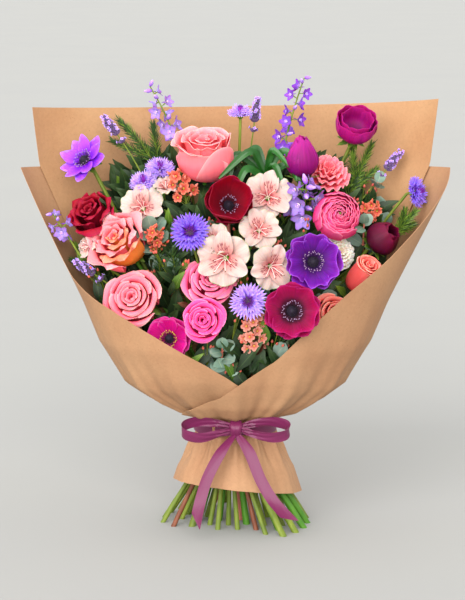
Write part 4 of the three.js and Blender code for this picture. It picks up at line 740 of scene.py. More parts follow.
MAGENTA_CUP = petal_finish("petal_magenta_cup", "0 540044, 0.5 98006a, 1 b81880", 0.18, veins=44)
PLUM = petal_finish("petal_plum", "0 500048, 0.5 880066, 1 b01c88", 0.3, veins=60)
LOW_MAGENTA = petal_finish("petal_low_magenta", "0 70004a, 0.4 b4006c, 0.8 cc0a80, 1 e04a9c", 0.16)
CRIMSON = petal_finish("petal_crimson", "0 24000a, 0.35 6b0017, 0.8 95001f, 1 a00a37", 0.18)
BURGUNDY = petal_finish("petal_burgundy", "0 240010, 0.5 480022, 1 680430", 0.16)
LILY = petal_finish("petal_lily", "0 ce4352, 0.18 d36c74, 0.4 d29994, 0.65 d0aea6, 0.95 ceb7ae, 1 acb386", 0.1)
LILY_NARROW = petal_finish("petal_lily_narrow", "0 ca3f52, 0.22 d3656c, 0.5 d2908a, 0.8 d1aca4, 1 d0b7b0",
                           0.1, fleck=("7c1c30", 0.26, 0.62, 0.58))
LILAC_PALE = petal_finish("petal_lilac_pale", "0 d8ccec, 0.3 b898e0, 0.7 a884d8, 1 9468c8", 0.14)
LILAC = petal_finish("petal_lilac", "0 ccb0ec, 0.2 a470d8, 0.6 8a4ccc, 1 7838bc", 0.14)
BLUE_VIOLET = petal_finish("petal_blue_violet", "0 7a20a8, 0.45 7c48d8, 1 9a7cee", 0.1)
PALE_LILAC = petal_finish("petal_pale_lilac", "0 9450d0, 0.4 b080ec, 1 ccaafa", 0.12)
TUFT = plain_finish("tuft_violet", "8410a0", "b038c8", 500, 0.6)
TUFT_DARK = plain_finish("tuft_dark", "540878", "741c94", 500, 0.6)
CALYX = plain_finish("calyx_green", "617929", "879945", 420, 0.6)
LAVENDER_BUD = plain_finish("lavender_bud", "48305e", "705088", 420, 0.7, 0.3)
WAX = petal_finish("petal_wax", "0 9c3c1c, 0.3 cc6654, 1 de9080", 0.12, veins=12)
WAX_RED = petal_finish("petal_wax_red", "0 a02420, 0.4 d04a3c, 1 e4785e", 0.12, veins=12)
RED_BUD = plain_finish("bud_red", "b8403a", "e87860", 420, 0.6)
EYE = plain_finish("flower_eye", "a8701c", "d8a83c", 600, 0.6)
NEEDLE = plain_finish("needle_green", "1e3e1c", "406428", 260, 0.5)
NEEDLE_BRIGHT = plain_finish("needle_bright", "4a6a1a", "7c9c34", 260, 0.5)

BLUE_CORNFLOWER = [BLUE_VIOLET, TUFT, TUFT_DARK, CALYX]
PALE_CORNFLOWER = [PALE_LILAC, TUFT, TUFT_DARK, CALYX]

# name, form, its sizes, place of its middle, pan and lift of its face, finishes
FLOWERS = [
    ("anemone_purple", anemone, (31, 0.4, 6, 2.0, 1.2, 0.0, 0.1), (84, -76, 310), 5, 14, 0.17, [PURPLE]),
    ("anemone_magenta", anemone, (30, 0.46, 5, 2.0, 1.35, 0.0, 0.1), (61, -92, 259), 2, 14, 0.18, [MAGENTA]),
    ("rose_low", rose, (25, 34, 8, 9, 0.3), (-34, -82, 247), -4, 14, 0.5, [HOT_PINK]),
    ("rose_left", rose, (35.5, 46, 8, 10, 0.15), (-109, -38, 261), -16, 24, 0.5, [PEACH_PALE]),
    ("rose_top", cupped_rose, (34, 50), (-34, 22, 405), 0, 72, 0.5, [PEACH]),
    ("garden_rose", rose, (36, 46, 3, 10, 0.4, 0.12, (-0.7, 0.72)), (-126, -14, 321), -28, 34, 0.5,
     [PEACH, APRICOT]),
    ("ranunculus_pink", globe, (25, 40), (113, -22, 353), 8, 18, 0.5, [RANUNCULUS, CALYX]),
    ("anemone_crimson", anemone, (29, 0.85, 5, 1.5, 1.6, 0.0, 0.05, 0.14), (-7, -22, 365), 4, 24, 0.25,
     [CRIMSON]),
    ("cornflower_violet", cornflower, (21,), (-49, -56, 340), 0, 16, 0.35, BLUE_CORNFLOWER),
    ("anemone_violet", anemone, (31, 0.34, 5, 1.0, 0.8, 0.75, 0.03), (-168, 32, 408), -38, 34, 0.15, [VIOLET]),
    ("anemone_cup", cup, (22, 31, 1.02, 4), (135, 42, 444), 12, 50, 0.5, [MAGENTA_CUP]),
    ("anemone_closed", cup, (19, 48, 0.3, 3), (74, 6, 414), -6, 84, 0.5, [PLUM]),
    ("anemone_left", rose, (31, 40, 2, 9, 0.4, 0.1), (-156, 14, 347), -32, 40, 0.5, [CRIMSON]),
    ("anemone_burgundy", cup, (19, 36, 0.5, 3), (164, -12, 327), 48, 34, 0.5, [BURGUNDY]),
    ("anemone_low", anemone, (25, 0.42, 6), (-72, -62.5, 223), -12, 8, 0.21, [LOW_MAGENTA]),
    ("rosebud_right", rose, (17.5, 42, 5, 6, 0.8), (139, -34, 289), 34, 46, 0.5, [CORAL]),
    ("rose_coral", rose, (27, 38, 7, 9, 0.4), (104, -44, 244), 26, 20, 0.5, [CORAL]),
    ("rose_middle", rose, (32, 38, 8, 10, 0.15), (-26, -40, 280), -2, 30, 0.5, [ROSE_PINK]),
    ("carnation_coral", ruffle, (27, 30), (102, 28, 392), 18, 52, 0.5, [CARNATION]),
    ("carnation_cream", ruffle, (20, 26), (114, -4, 308), 22, 24, 0.5, [CREAM]),
    ("cornflower_low", cornflower, (20,), (14, -94, 270), 0, 8, 0.35, PALE_CORNFLOWER),
    ("cornflower_top", cornflower, (14, False), (6, 52, 460), 0, 82, 0.35, PALE_CORNFLOWER),
    ("cornflower_right", cornflower, (17, False), (203, 22, 374), 62, 14, 0.35, BLUE_CORNFLOWER),
    ("cornflower_pair_low", cornflower, (16, False), (-102, 20, 386), -16, 58, 0.35, PALE_CORNFLOWER),
    ("cornflower_pair_high", cornflower, (16, False), (-84, 30, 400), 10, 62, 0.35, PALE_CORNFLOWER),
]
STAMEN_FINISH = {"anemone_low": YELLOW}
stems = {}  # the base and the axis of each flower and spray, for its stem


def build_flowers():
    for seed, (name, form, sizes, at, pan, lift, middle, finishes) in enumerate(FLOWERS):
        heap = Heap(seed + 11)
        form(heap, *sizes)
        height = sizes[1] if form in (rose, globe, ruffle, cup) else sizes[0]
        pose = pose_of(at, pan, lift, height * middle)
        make_piece(name + "_petals", heap, [name], finishes, pose)
        stems[name] = (place(vec(0, 0, 0), pose), facing(pan, lift))
        if form is anemone:
            heart = Heap(seed + 101)
            boss(heart, sizes[0])
            make_piece(name + "_heart", heart, [name + "_boss"], [DARK, STAMEN_FINISH.get(name, ANTHER)], pose)


LILY_KNOTS = {
    "lily_cluster_centre": (6, -34, 292), "lily_white": (38, 8, 350), "lily_left": (-92, 14, 340),
    "lily_far_left": (-146, 2, 300),
}
LILIES = {
    "lily_cluster_centre": [((-12, -64, 312), 31, -14, 6, 30), ((40, -66, 303), 26, 18, 2, 10),
        ((27, -44, 341), 24, 8, 24, 50),
                            ((-22, -50, 330), 20, -30, 30, 80)],
    "lily_white": [((36, -14, 374), 29, 0, 26, 20)],
    "lily_left": [((-103, 2, 360), 26, -10, 30, 40), ((-77, 10, 382), 15, 8, 58, 10)],
    "lily_far_left": [((-163, -6, 317), 16, -56, 26, 0)],
}
LILY_AXIS = unit(vec(0, -0.2, 1))


def build_lilies():
    for seed, (name, flowers) in enumerate(LILIES.items()):
        whole = Heap(seed + 51)
        foot = vec(*LILY_KNOTS[name])
        knot = foot + LILY_AXIS * 4
        tube(whole, [foot, knot, knot + LILY_AXIS], [1.5, 1.7, 1.4], 8, 0.5, 4)
        for at, R, pan, lift, turn in flowers:
            heap = Heap(seed * 7 + int(R))
            lily(heap, R, turn)
            pose = pose_of(at, pan, lift, R * 0.2)
            whole.sheets += [(place(p, pose), f, u, t, m) for p, f, u, t, m in heap.sheets]
            whole.solids += [(place(p, pose), f, u, t, m) for p, f, u, t, m in heap.solids]
            base = place(vec(0, 0, -R * 0.38), pose)
            middle = mix(knot, base, 0.5)
            tube(whole, [knot, middle, base], [1.4, 1.2, 1.2], 8, 0.4, 4)
        make_piece(name + "_flowers", whole, [name], [LILY, LILY_NARROW, THREAD, TAN, GREEN])
        stems[name] = (foot, LILY_AXIS)


# ---------------------------------------------------------------- sprays
class Line:
    """A stalk on a gentle curve from its base to its tip."""

    def __init__(self, start, end, bow):
        self.start, self.end = vec(*start), vec(*end)
        self.bend = mix(self.start, self.end, 0.5) + vec(*bow)
        self.length = np.linalg.norm(self.end - self.start)

    def at(self, t):
        return (1 - t) ** 2 * self.start + 2 * t * (1 - t) * self.bend + t * t * self.end

    def ahead(self, t):
        return unit(2 * (1 - t) * (self.bend - self.start) + 2 * t * (self.end - self.bend))


def stalk(heap, line, radius, finish):
    shares = [i / 10 for i in range(11)]
    tube(heap, [line.at(t) for t in shares], [radius * mix(1, 0.55, t) for t in shares], 7, 0.5, finish)


def floret(heap, centre, axis, root, radius, petals=5, finish=0, eye=1, size=(4, 5), cup_=0.35, tone=0.5,
    width=0.85, tip=0.0):
    """A small open flower of round petals, its face to `axis`, on its own stalk from `root`."""
    basis_x = across_of(axis, heap.draw(0, ANY_TURN))
    basis_y = np.cross(axis, basis_x)
    sub = Heap(heap.rng.randrange(9999))
    curve = [(radius * 0.06, -radius * 0.3), (radius * 0.3, radius * 0.02),
        (radius * 0.7, radius * cup_ * 0.5), (radius, radius * cup_)]
    for k in range(petals):
        petal(sub, 2 * math.pi * (k + sub.jitter(0.08)) / petals, curve, width * math.pi / petals, root=0.3,
              swell=0.7, drop=0.45, corner=2,
              cup=radius * 0.1, size=size, tone=min(1, max(0, tone + sub.jitter(0.3))), finish=finish, hug=0.6,
              tip=tip)
    basis = np.stack([basis_x, basis_y, axis], 0)
    heap.sheets += [(p @ basis + centre, f, u, t, m) for p, f, u, t, m in sub.sheets]
    tube(heap, [root, mix(root, centre - axis * radius * 0.3, 0.6), centre - axis * radius * 0.3],
         [0.5, 0.45, 0.7], 5, 0.5, 2)
    if eye is not None:
        ball(heap, centre - axis * radius * 0.06, centre + axis * radius * 0.18, radius * 0.2, 0.5, eye)


def larkspur(heap, line, count, start=0.25, size=8.5):
    """Larkspur: open flowers with pale hearts and spurs, and buds towards the tip."""
    total = round(count * 1.8)
    for k in range(total):
        t = mix(start, 1.0, k / (total - 1))
        radius = size * mix(1.12, 0.72, t) * heap.draw(0.9, 1.15)
        ahead = line.ahead(t)
        out = across_of(ahead, k * GOLDEN_TURN + 0.5)
        if t > 0.94 or k % 5 == 4:
            tip = line.at(t) + out * size * 0.9 + ahead * size * 0.4
            ball(heap, line.at(t), tip, size * 0.24, 0.3, 3)
            continue
        centre = line.at(t) + out * size * heap.draw(0.7, 1.05) + ahead * 2
        axis = unit(out + ahead * heap.draw(-0.5, 0.2) + vec(0, -0.7, 0.1))
        floret(heap, centre, axis, line.at(t), radius, 5, 0, 1, size=(6, 6), tone=heap.draw(), width=1.2,
               tip=0.5, cup_=0.45)
        floret(heap, centre + axis * radius * 0.16, axis, line.at(t), radius * 0.24, 4, 3, None, tone=0.9)
        needle(heap, centre - axis * radius * 0.2, centre - axis * radius * 1.1 + ahead * 2, 0.8, 0.3, 3)


def lavender(heap, line):
    """Lavender: whorls of small buds, one whorl standing apart below the rest."""
    for w, below in enumerate((36, 25, 21, 17.5, 14, 10.5, 7, 3.5, 0.5)):
        t = 1 - below / line.length
        p, ahead = line.at(t), line.ahead(t)
        size = 5.4 if w == 0 else 6.6 - w * 0.36
        for k in range(11 if w < 7 else 7):
            out = across_of(ahead, k * 0.58 + w * 0.4 + heap.jitter(0.2))
            tip = p + out * size * heap.draw(0.75, 1.05) + ahead * size * heap.draw(0.5, 0.95)
            ball(heap, p + out * 0.5, tip, 1.15, heap.draw(), 0)
            if k % 3 == 0:
                floret(heap, tip, unit(out + ahead * 0.4), p, 2.2, 4, 1, None, size=(2, 2), tone=0.8)


def waxflower(heap, line, count, spread, size, buds=0):
    """Waxflower: five round petals each, and buds, crowded at the ends of thin stalks."""
    total = round(count * 1.9)
    for k in range(total):
        t = mix(0.4, 1.0, k / (total - 1))
        ahead = line.ahead(t)
        out = across_of(ahead, k * GOLDEN_TURN)
        reach = spread * mix(1.0, 0.45, t) * heap.draw(0.6, 1.0)
        centre = line.at(t) + out * reach + ahead * size * 0.8
        axis = unit(out + vec(0, -1.1, 0.3) + vec(heap.jitter(0.3), 0, heap.jitter(0.3)))
        floret(heap, centre, axis, line.at(t - 0.1), size * heap.draw(0.62, 0.95), 5, 0, 1, tone=heap.draw(),
               width=0.98, cup_=0.28)
    for k in range(buds * 3):
        t = mix(0.35, 1.0, (k + 0.5) / (buds * 3))
        ahead = line.ahead(t)
        out = across_of(ahead, k * GOLDEN_TURN + 1.3)
        root = line.at(t - 0.08)
        at = line.at(t) + out * spread * heap.draw(0.35, 0.8) + ahead * size
        tube(heap, [root, mix(root, at, 0.55), at], [0.45, 0.4, 0.5], 5, 0.5, 2)
        ball(heap, at, at + unit(at - root) * size * 0.8, size * 0.22, heap.draw(), 3)


def eucalyptus(heap, line, pairs, size, round_=0.9):
    """Eucalyptus: pairs of round waxy leaves up the stalk."""
    for k in range(pairs * 2 + 1):
        last = k == pairs * 2
        t = 1.0 if last else mix(0.3, 0.92, (k // 2) / max(1, pairs - 1))
        ahead = line.ahead(t)
        turn = (k // 2) * 1.4 + (k % 2) * math.pi + 1.2
        out = ahead if last else unit(across_of(ahead, turn) + ahead * 0.55)
        face = ahead - out * ahead.dot(out) + vec(0, -0.4, 0)
        length = size * mix(1.15, 0.75, t)
        p = line.at(t)
        tube(heap, [p, p + out * 2.5], [0.8, 0.55], 6, 0.5, 1)
        leaf(heap, p + out * 1.8, out, face, length, length * round_, "round", 0.12, 0.06, 0.3, size=(8, 10),
             tone=heap.draw(0.2, 0.9))


def needles(heap, line, count, length):
    """A needled twig with two side twigs: needles lean forwards all round them."""
    twigs = [(line.at, line.ahead, count * 13, length * 1.15)]
    for side, share in ((-1, 0.3), (1, 0.42)):
        root, ahead = line.at(share), line.ahead(share)
        far = root + (ahead + across_of(ahead, side * 1.4 + 0.2) * 0.55) * line.length * 0.42
        heading = unit(far - root)
        twigs.append((lambda t, a=root, b=far: mix(a, b, t), lambda t, h=heading: h, count * 7, length))
        tube(heap, [root, mix(root, far, 0.5), far], [1.0, 0.8, 0.5], 6, 0.4, 1)
    for at, ahead_of, total, reach in twigs:
        for k in range(total):
            t = mix(0.05, 1.0, k / (total - 1))
            ahead = ahead_of(t)
            out = unit(across_of(ahead, k * GOLDEN_TURN) + ahead * mix(0.9, 2.4, t**3))
            far = reach * mix(0.9, 0.65, t) * heap.draw(0.6, 1.0)
            needle(heap, at(t), at(t) + out * far, 0.6, heap.draw(), 0 if heap.draw() < 0.7 else 2)


def strap_leaves(heap, line):
    """Broad glossy leaves that arch over and hang their tips."""
    rows = (
        (-44, 4, 24, -44, -20, 10), (-26, -4, 30, -52, 2, 9), (30, -2, 30, 34, -2, 9),
        (-16, 6, 34, -30, 20, 8), (34, 0, 14, 42, -14, 8),
        (12, -4, 32, 26, 14, 8), (-30, -8, 10, -38, -26, 9), (14, -10, 14, 24, -22, 8),
    )
    across, up, faces, uvs = blank(8, 18)
    root = line.at(1.0) + vec(0, -6, -8)
    for x, y, z, tip_x, tip_z, width in rows:
        knots = [root, root + vec(x * 0.35, y * 0.5, z * 0.75), root + vec(x * 0.8, y - 4, z),
            root + vec(tip_x, y - 8, tip_z)]
        spine = spline(knots, up)
        slope = spline(knots, np.minimum(up + 0.02, 1)) - spline(knots, np.maximum(up - 0.02, 0))
        slope /= np.linalg.norm(slope, axis=1)[:, None]
        side = np.cross(slope, vec(0.25, -0.9, 0.5))
        side /= np.linalg.norm(side, axis=1)[:, None]
        up_side = np.cross(side, slope)
        shape = np.sin(math.pi * (up * 0.92 + 0.06)) ** 0.6
        points = spine + side * (across * shape * width / 2)[:,
            None] + up_side * (np.abs(across) * shape * width * 0.16)[:, None]
        heap.sheets.append((points, faces, uvs, heap.draw(), 0))


# name, base, tip and bow of the stalk, its radius, what it carries and that one's numbers, finishes
LILACS = [LILAC, THREAD, OLIVE, PALE_LILAC]
LILACS_PALE = [LILAC_PALE] + LILACS[1:]
LAVENDERS = [LAVENDER_BUD, PALE_LILAC, OLIVE]
WAXES = [WAX, EYE, OLIVE, WAX_RED]
RED_WAXES = [WAX_RED, EYE, OLIVE, WAX_RED]
EUCALYPTS = [GREY_LEAF, PINKISH]
DARK_TWIG, BRIGHT_TWIG = [NEEDLE, BROWN, NEEDLE_BRIGHT], [NEEDLE_BRIGHT, BROWN, NEEDLE]
SPRAYS = [
    ("larkspur_left_top", (-52, 52, 380), (-96, 68, 488), (8, 0, 6), 1.3, larkspur, (7, 0.45, 10), LILACS_PALE),
    ("larkspur_right_top", (50, 46, 390), (78, 62, 498), (-6, 0, 0), 1.4, larkspur, (9, 0.2, 9.5), LILACS),
    ("larkspur_middle", (76, 6, 330), (78, -26, 388), (0, 6, 0), 1.4, larkspur, (8, 0.3, 13.5), LILACS_PALE),
    ("larkspur_left", (-175, -3, 310), (-202.5, 0, 352), (0, 0, 2), 1.2, larkspur, (4, 0.4), LILACS_PALE),
    ("lavender_left_top", (-102, 48, 384), (-148, 62, 453), (4, 0, 4), 1, lavender, (), LAVENDERS),
    ("lavender_top", (17, 58, 410), (25, 62, 473), (0, 0, 0), 1, lavender, (), LAVENDERS),
    ("lavender_right", (128, 30, 346), (186, 56, 414), (0, 0, 0), 1, lavender, (), LAVENDERS),
    ("lavender_left_low", (-134, -14, 270), (-176, -14, 300), (0, 0, 2), 1, lavender, (), LAVENDERS),
    ("waxflower_low", (18, -46, 186), (20, -80, 248), (0, -14, 0), 1.4, waxflower, (11, 19, 7, 4), WAXES),
    ("waxflower_left", (-82, -2, 296), (-88, -26, 334), (0, 0, 0), 1.2, waxflower, (5, 13, 7, 6), RED_WAXES),
    ("waxflower_upper", (-52, 10, 344), (-62, 6, 392), (4, 0, 0), 1.2, waxflower, (6, 17, 8, 5),
     [WAX_RED, EYE, OLIVE, WAX]),
    ("waxflower_right", (140, 14, 326), (152, 8, 358), (0, 0, 0), 1.2, waxflower, (6, 14, 6.5, 4), RED_WAXES),
    ("eucalyptus_low", (-14, -46, 176), (-14, -78, 214), (0, -4, 0), 1.4, eucalyptus, (4, 20), EUCALYPTS),
    ("eucalyptus_right", (140, 34, 330), (160, 42, 380), (0, 0, 0), 1.3, eucalyptus, (2, 19), EUCALYPTS),
    ("eucalyptus_middle_right", (143, 10, 306), (142, -18, 342), (0, 0, 0), 1.3, eucalyptus, (2, 20, 0.75),
     EUCALYPTS),
    ("eucalyptus_left", (-84, 12, 300), (-92, -10, 334), (0, 0, 0), 1.3, eucalyptus, (4, 26), EUCALYPTS),
    ("fir_left_top", (-68, 46, 372), (-130, 70, 448), (0, 0, 8), 1.3, needles, (18, 18), DARK_TWIG),
    ("fir_right", (122, 42, 352), (154, 60, 422), (0, 0, 0), 1.3, needles, (16, 16), BRIGHT_TWIG),
    ("fir_left_low", (-143, 12, 273), (-178, 14, 314), (0, 0, -2), 1.2, needles, (13, 13.5), DARK_TWIG),
    ("fir_right_low", (172, 6, 322), (200, 10, 352), (0, 0, 0), 1.2, needles, (12, 15), BRIGHT_TWIG),
    ("strap_leaves", (38, 20, 372), (34, 14, 398), (0, 0, 0), 1.5, strap_leaves, (), [STRAP_LEAF, GREEN]),
]


def build_sprays():
    for seed, (name, start, end, bow, radius, form, numbers, finishes) in enumerate(SPRAYS):
        heap = Heap(seed + 71)
        line = Line(start, end, bow)
        stalk(heap, line, radius, 1 if form in (eucalyptus, needles, strap_leaves) else 2)
        form(heap, line, *numbers)
        make_piece(name + "_spray", heap, [name], finishes)
        stems[name] = (line.start, unit(line.end - line.start))


# ---------------------------------------------------------------- stems
STEM_PITCH = 5.1  # least distance of two stems at the tie
TIE_RADIUS = 20.0
FOOT_SPREAD = 4.1  # how much further out than at the tie the stems stand
FOOT_TURN = 60 * DEG  # how far they spiral below the tie
PACK_ROUNDS = 300
THICK, THIN, BRANCH = 2.2, 1.6, 1.5  # radii of stems
# The flowers and sprays whose stem branches off another one's
BRANCHES = {
    "cornflower_pair_high": "cornflower_pair_low", "cornflower_low": "cornflower_violet",
    "lily_far_left": "lily_left",
    "lily_white": "lily_cluster_centre", "rosebud_right": "rose_coral", "rose_middle": "rose_low",
    "carnation_cream": "carnation_coral",
    "waxflower_upper": "waxflower_left", "eucalyptus_middle_right": "eucalyptus_right",
    "fir_left_low": "fir_left_top",
    "fir_right_low": "fir_right", "larkspur_middle": "larkspur_right_top", "larkspur_left": "larkspur_left_top",
    "lavender_left_low": "lavender_left_top",
}
THICK_STEMS = ("rose", "garden", "anemone", "ranunculus", "carnation")
STEM_FINISHES = {"green": GREEN, "olive": OLIVE, "pink": PINKISH, "brown": BROWN}
STEM_KINDS = {
    "anemone_purple": "pink", "anemone_crimson": "pink", "rose_top": "green", "garden_rose": "green",
    "rose_coral": "green",
    "fir_left_top": "brown", "fir_right": "brown", "waxflower_low": "brown", "eucalyptus_low": "pink",
    "rose_left": "green",
    "lily_cluster_centre": "green", "lily_left": "green", "strap_leaves": "green", "carnation_coral": "green",
}


def wanted_place(base):
    """Where a straight stem to this base would pass the tie."""
    k = (base[2] - TIE_Z) / TIE_Z
    a = 1 + k - k * FOOT_SPREAD * math.cos(FOOT_TURN)
    b = -k * FOOT_SPREAD * math.sin(FOOT_TURN)
    size = a * a + b * b
    return np.array(((a * base[0] + b * base[1]) / size, (a * base[1] - b * base[0]) / size))


def packed_places(wishes):
    """The stems' places at the tie, pushed apart until no two are nearer than a stem's thickness."""
    places = [wish.copy() for wish in wishes]
    for _ in range(PACK_ROUNDS):
        for i, p in enumerate(places):
            for q in places[i + 1:]:
                apart = p - q
                near = math.hypot(*apart)
                if near < STEM_PITCH:
                    apart *= (STEM_PITCH - near) / (2 * near)
                    p += apart
                    q -= apart
        for p in places:
            out = math.hypot(*p)
            if out > TIE_RADIUS:
                p *= TIE_RADIUS / out
    return places


def build_stems():
    tied = [name for name in stems if name not in BRANCHES]
    places = dict(zip(tied, packed_places([wanted_place(stems[name][0]) for name in tied])))
    heaps = {kind: Heap(3) for kind in STEM_FINISHES}
    routes = {}
    for name, spot in places.items():
        base, axis = stems[name]
        turned = np.array((spot[0] * math.cos(FOOT_TURN) - spot[1] * math.sin(FOOT_TURN),
                           spot[0] * math.sin(FOOT_TURN) + spot[1] * math.cos(FOOT_TURN))) * FOOT_SPREAD
        foot, middle = vec(*turned, 0), vec(*spot, TIE_Z)
        thick = name.startswith(THICK_STEMS)
        radius = THICK if thick else THIN
        neck = base - axis * 4 * radius
        path = [mix(foot, middle, i / 6) for i in range(6)] + [middle, mix(middle, neck, 0.33),
            mix(middle, neck, 0.67), neck, base]
        radii = [radius * mix(1.85, 1.05, i / 6) for i in range(7)] + [radius] * 4
        kind = STEM_KINDS.get(name, "olive")
        tube(heaps[kind], path, radii, 12, heaps[kind].draw(), 0, level=True)
        routes[name] = middle, neck
    for name, host in BRANCHES.items():
        base, axis = stems[name]
        low, high = routes[host]
        fork, neck = mix(low, high, 0.5), base - axis * 6
        tube(heaps["olive"], [fork, mix(fork, neck, 0.5), neck, base], [0.8, 1.4, BRANCH, BRANCH], 8, 0.6, 0)
    for kind, heap in heaps.items():
        make_piece("stems_" + kind, heap, ["stem_bundle"], [STEM_FINISHES[kind]])


# Collars of cut leaves and sepals: bloom, leaves, how far below it, length, width, lean, teeth a side, finish
COLLARS = [
    ("rose_top", 5, 1.5, 23, 8, 0.55, 0, GREEN_LEAF), ("rose_top", 6, 9, 34, 16, 0.05, 6, DARK_LEAF_AND_PAINTED_SHADE),
    ("anemone_cup", 9, 6, 20, 8, 0.3, 4, GREEN_LEAF),
    ("anemone_closed", 7, 4, 22, 9, 0.55, 4, GREEN_LEAF), ("anemone_burgundy", 7, 3, 20, 9, 0.4, 4, GREEN_LEAF),
    ("anemone_violet", 6, 5, 17, 9, 0.1, 4, GREEN_LEAF), ("rosebud_right", 4, 1.5, 17, 6, 0.6, 0, BROWN_LEAF),
    ("rose_left", 5, 1, 26, 9, 0.2, 0, GREEN_LEAF), ("garden_rose", 5, 1, 26, 9, 0.2, 0, GREEN_LEAF),
    ("rose_low", 5, 1, 20, 7, 0.2, 0, GREEN_LEAF),
    ("ranunculus_pink", 5, 1, 20, 9, 0.2, 3, GREEN_LEAF), ("anemone_left", 7, 4, 24, 10, 0.3, 4, GREEN_LEAF),
]


def build_collars():
    heap = Heap(5)
    finishes = [GREEN_LEAF, DARK_LEAF_AND_PAINTED_SHADE, BROWN_LEAF]
    for name, count, below, length, width, lean, teeth, finish in COLLARS:
        base, axis = stems[name]
        start = base - axis * below
        for k in range(count):
            out = unit(across_of(axis,
                2 * math.pi * k / count + heap.jitter(0.2)) + axis * (lean + heap.jitter(0.1)))
            leaf(heap, start, out, axis, length * heap.draw(0.85, 1.05), width, "lance", 0.15, 0.12, 0.4,
                 teeth, 0.35, (6, 4 * teeth or 10),
                 heap.draw(), finishes.index(finish))
    make_piece("collar_leaves", heap, ["stem_bundle"], finishes, thick=LEAF)


# ---------------------------------------------------------------- filler greenery
# The outline of the flowers: x, lowest and highest z of the greenery between them
FILL_OUTLINE = [
    (-215, 300, 318), (-196, 285, 330), (-170, 262, 352), (-134, 240, 372), (-117, 222, 392), (-72, 204, 414),
    (-33, 188, 408), (6, 180, 404),
    (72, 205, 406), (122, 235, 396), (163, 272, 366), (190, 300, 352), (205, 315, 346),
]
FILL_COUNT, SPRIG_COUNT = 1700, 150


def fill_depth(x, z, behind):
    """How far back a leaf stands that is `behind` the faces of the blooms, inside the wrap."""
    face = -92 + (z - 250) * 0.62 + (x / 150) ** 2 * 36
    wide, deep = along(WRAP, z, 1) * 0.86, along(WRAP, z, 2) * 0.78
    return max(face + behind, -deep * math.sqrt(max(0.0, 1 - (x / wide) ** 2)))


def inside_wrap(point, share=0.9):
    wide, deep = along(WRAP, point[2], 1), along(WRAP, point[2], 2)
    return (point[0] / wide) ** 2 + (point[1] / deep) ** 2 < share**2


def behind_blooms(point):
    """Whether a point stands clear of every bloom, or behind it."""
    for _, _, sizes, at, *_ in FLOWERS:
        if point[1] < at[1] + 10 and math.hypot(point[0] - at[0], point[2] - at[2]) < sizes[0] + 2:
            return False
    for flowers in LILIES.values():
        for at, R, *_ in flowers:
            if point[1] < at[1] + 8 and math.hypot(point[0] - at[0], point[2] - at[2]) < R * 0.8:
                return False
    return True


def build_fillers():
    """Leaves that fill the gaps behind the blooms, thrown over the bouquet by a seeded draw. The deepest ones
    take the darkest green as painted shade in the gaps.
    """
    leaves, sprigs = Heap(9), Heap(19)
    finishes = [DARK_LEAF_AND_PAINTED_SHADE, GREEN_LEAF, BROWN_LEAF, GREY_LEAF]
    for _ in range(FILL_COUNT):
        x = leaves.draw(-212, 202)
        low, high = along(FILL_OUTLINE, x, 1), along(FILL_OUTLINE, x, 2)
        z = leaves.draw(low, high)
        deep = leaves.draw(18, 80)
        start = vec(x, fill_depth(x, z, deep), z - 14)
        out = unit(vec(x / 260 + leaves.jitter(0.7), -0.55 + leaves.jitter(0.35), 0.75 + leaves.jitter(0.35)))
        # Every leaf more than 45 mm behind the blooms' faces takes the darkest green: painted shade in the deep
        # gaps
        kind = leaves.rng.choices((0, 1, 2, 3), (52, 24, 7, 17))[0] if deep < 45 else 0
        within = inside_wrap(start) and inside_wrap(start + out * 34)
        if not (within and behind_blooms(start + out * 16) and behind_blooms(start + out * 32)):
            continue
        if kind == 3:
            size = leaves.draw(13, 22)
            leaf(leaves, start, out, vec(0, -1, 0.5), size, size * 0.92, "round", 0.1, 0.06, 0.4, size=(6, 8),
                 tone=leaves.draw(), finish=3)
        else:
            length = leaves.draw(16, 32) + (14 if deep > 45 else 0)
            teeth = leaves.rng.choice((0, 0, 4, 5))
            leaf(leaves, start, out, vec(leaves.jitter(0.6), -1, 0.5), length, length * leaves.draw(0.3, 0.5),
                 "lance",
                 leaves.draw(0.05, 0.4), 0.14, 0.8, teeth, 0.3, (4, 2 * teeth or 8), leaves.draw(), kind)
    for k in range(SPRIG_COUNT):
        x = sprigs.draw(-205, 195)
        low, high = along(FILL_OUTLINE, x, 1) + 6, along(FILL_OUTLINE, x, 2) + 6
        z = sprigs.draw(low, high)
        at = vec(x, fill_depth(x, z, sprigs.draw(8, 30)), z)
        if not (inside_wrap(at, 0.86) and behind_blooms(at + vec(0, 0, 4))):
            continue
        root = at + vec(-x * 0.06 + sprigs.jitter(5), 12, -24)
        if k % 3:
            for _ in range(4):
                tip = at + vec(sprigs.jitter(7), sprigs.jitter(4), sprigs.jitter(7))
                tube(sprigs, [root, mix(root, tip, 0.6), tip], [0.5, 0.4, 0.45], 4, 0.5, 1)
                ball(sprigs, tip, tip + unit(tip - root) * 4.5, 1.5, sprigs.draw(), 0)
        else:
            tube(sprigs, [root, at], [0.9, 0.6], 5, 0.4, 1)
            ahead = unit(at - root)
            for j in range(36):
                p = mix(root, at, j / 35)
                out = unit(across_of(ahead, j * GOLDEN_TURN) + ahead * 1.2)
                needle(sprigs, p, p + out * 13, 0.6, sprigs.draw(), 2)
    make_piece("filler_leaves", leaves, ["stem_bundle"], finishes, thick=LEAF)
    make_piece("filler_sprigs", sprigs, ["stem_bundle"], [RED_BUD, OLIVE, NEEDLE], thick=LEAF)


# ---------------------------------------------------------------- paper
# How deep the gathers are at each height
GATHER = [(34, 5), (80, 5), (106, 3.6), (131, 4.2), (162, 3), (200, 1), (300, 0), (480, 0)]
PLEAT = 15.0  # degrees from fold to fold
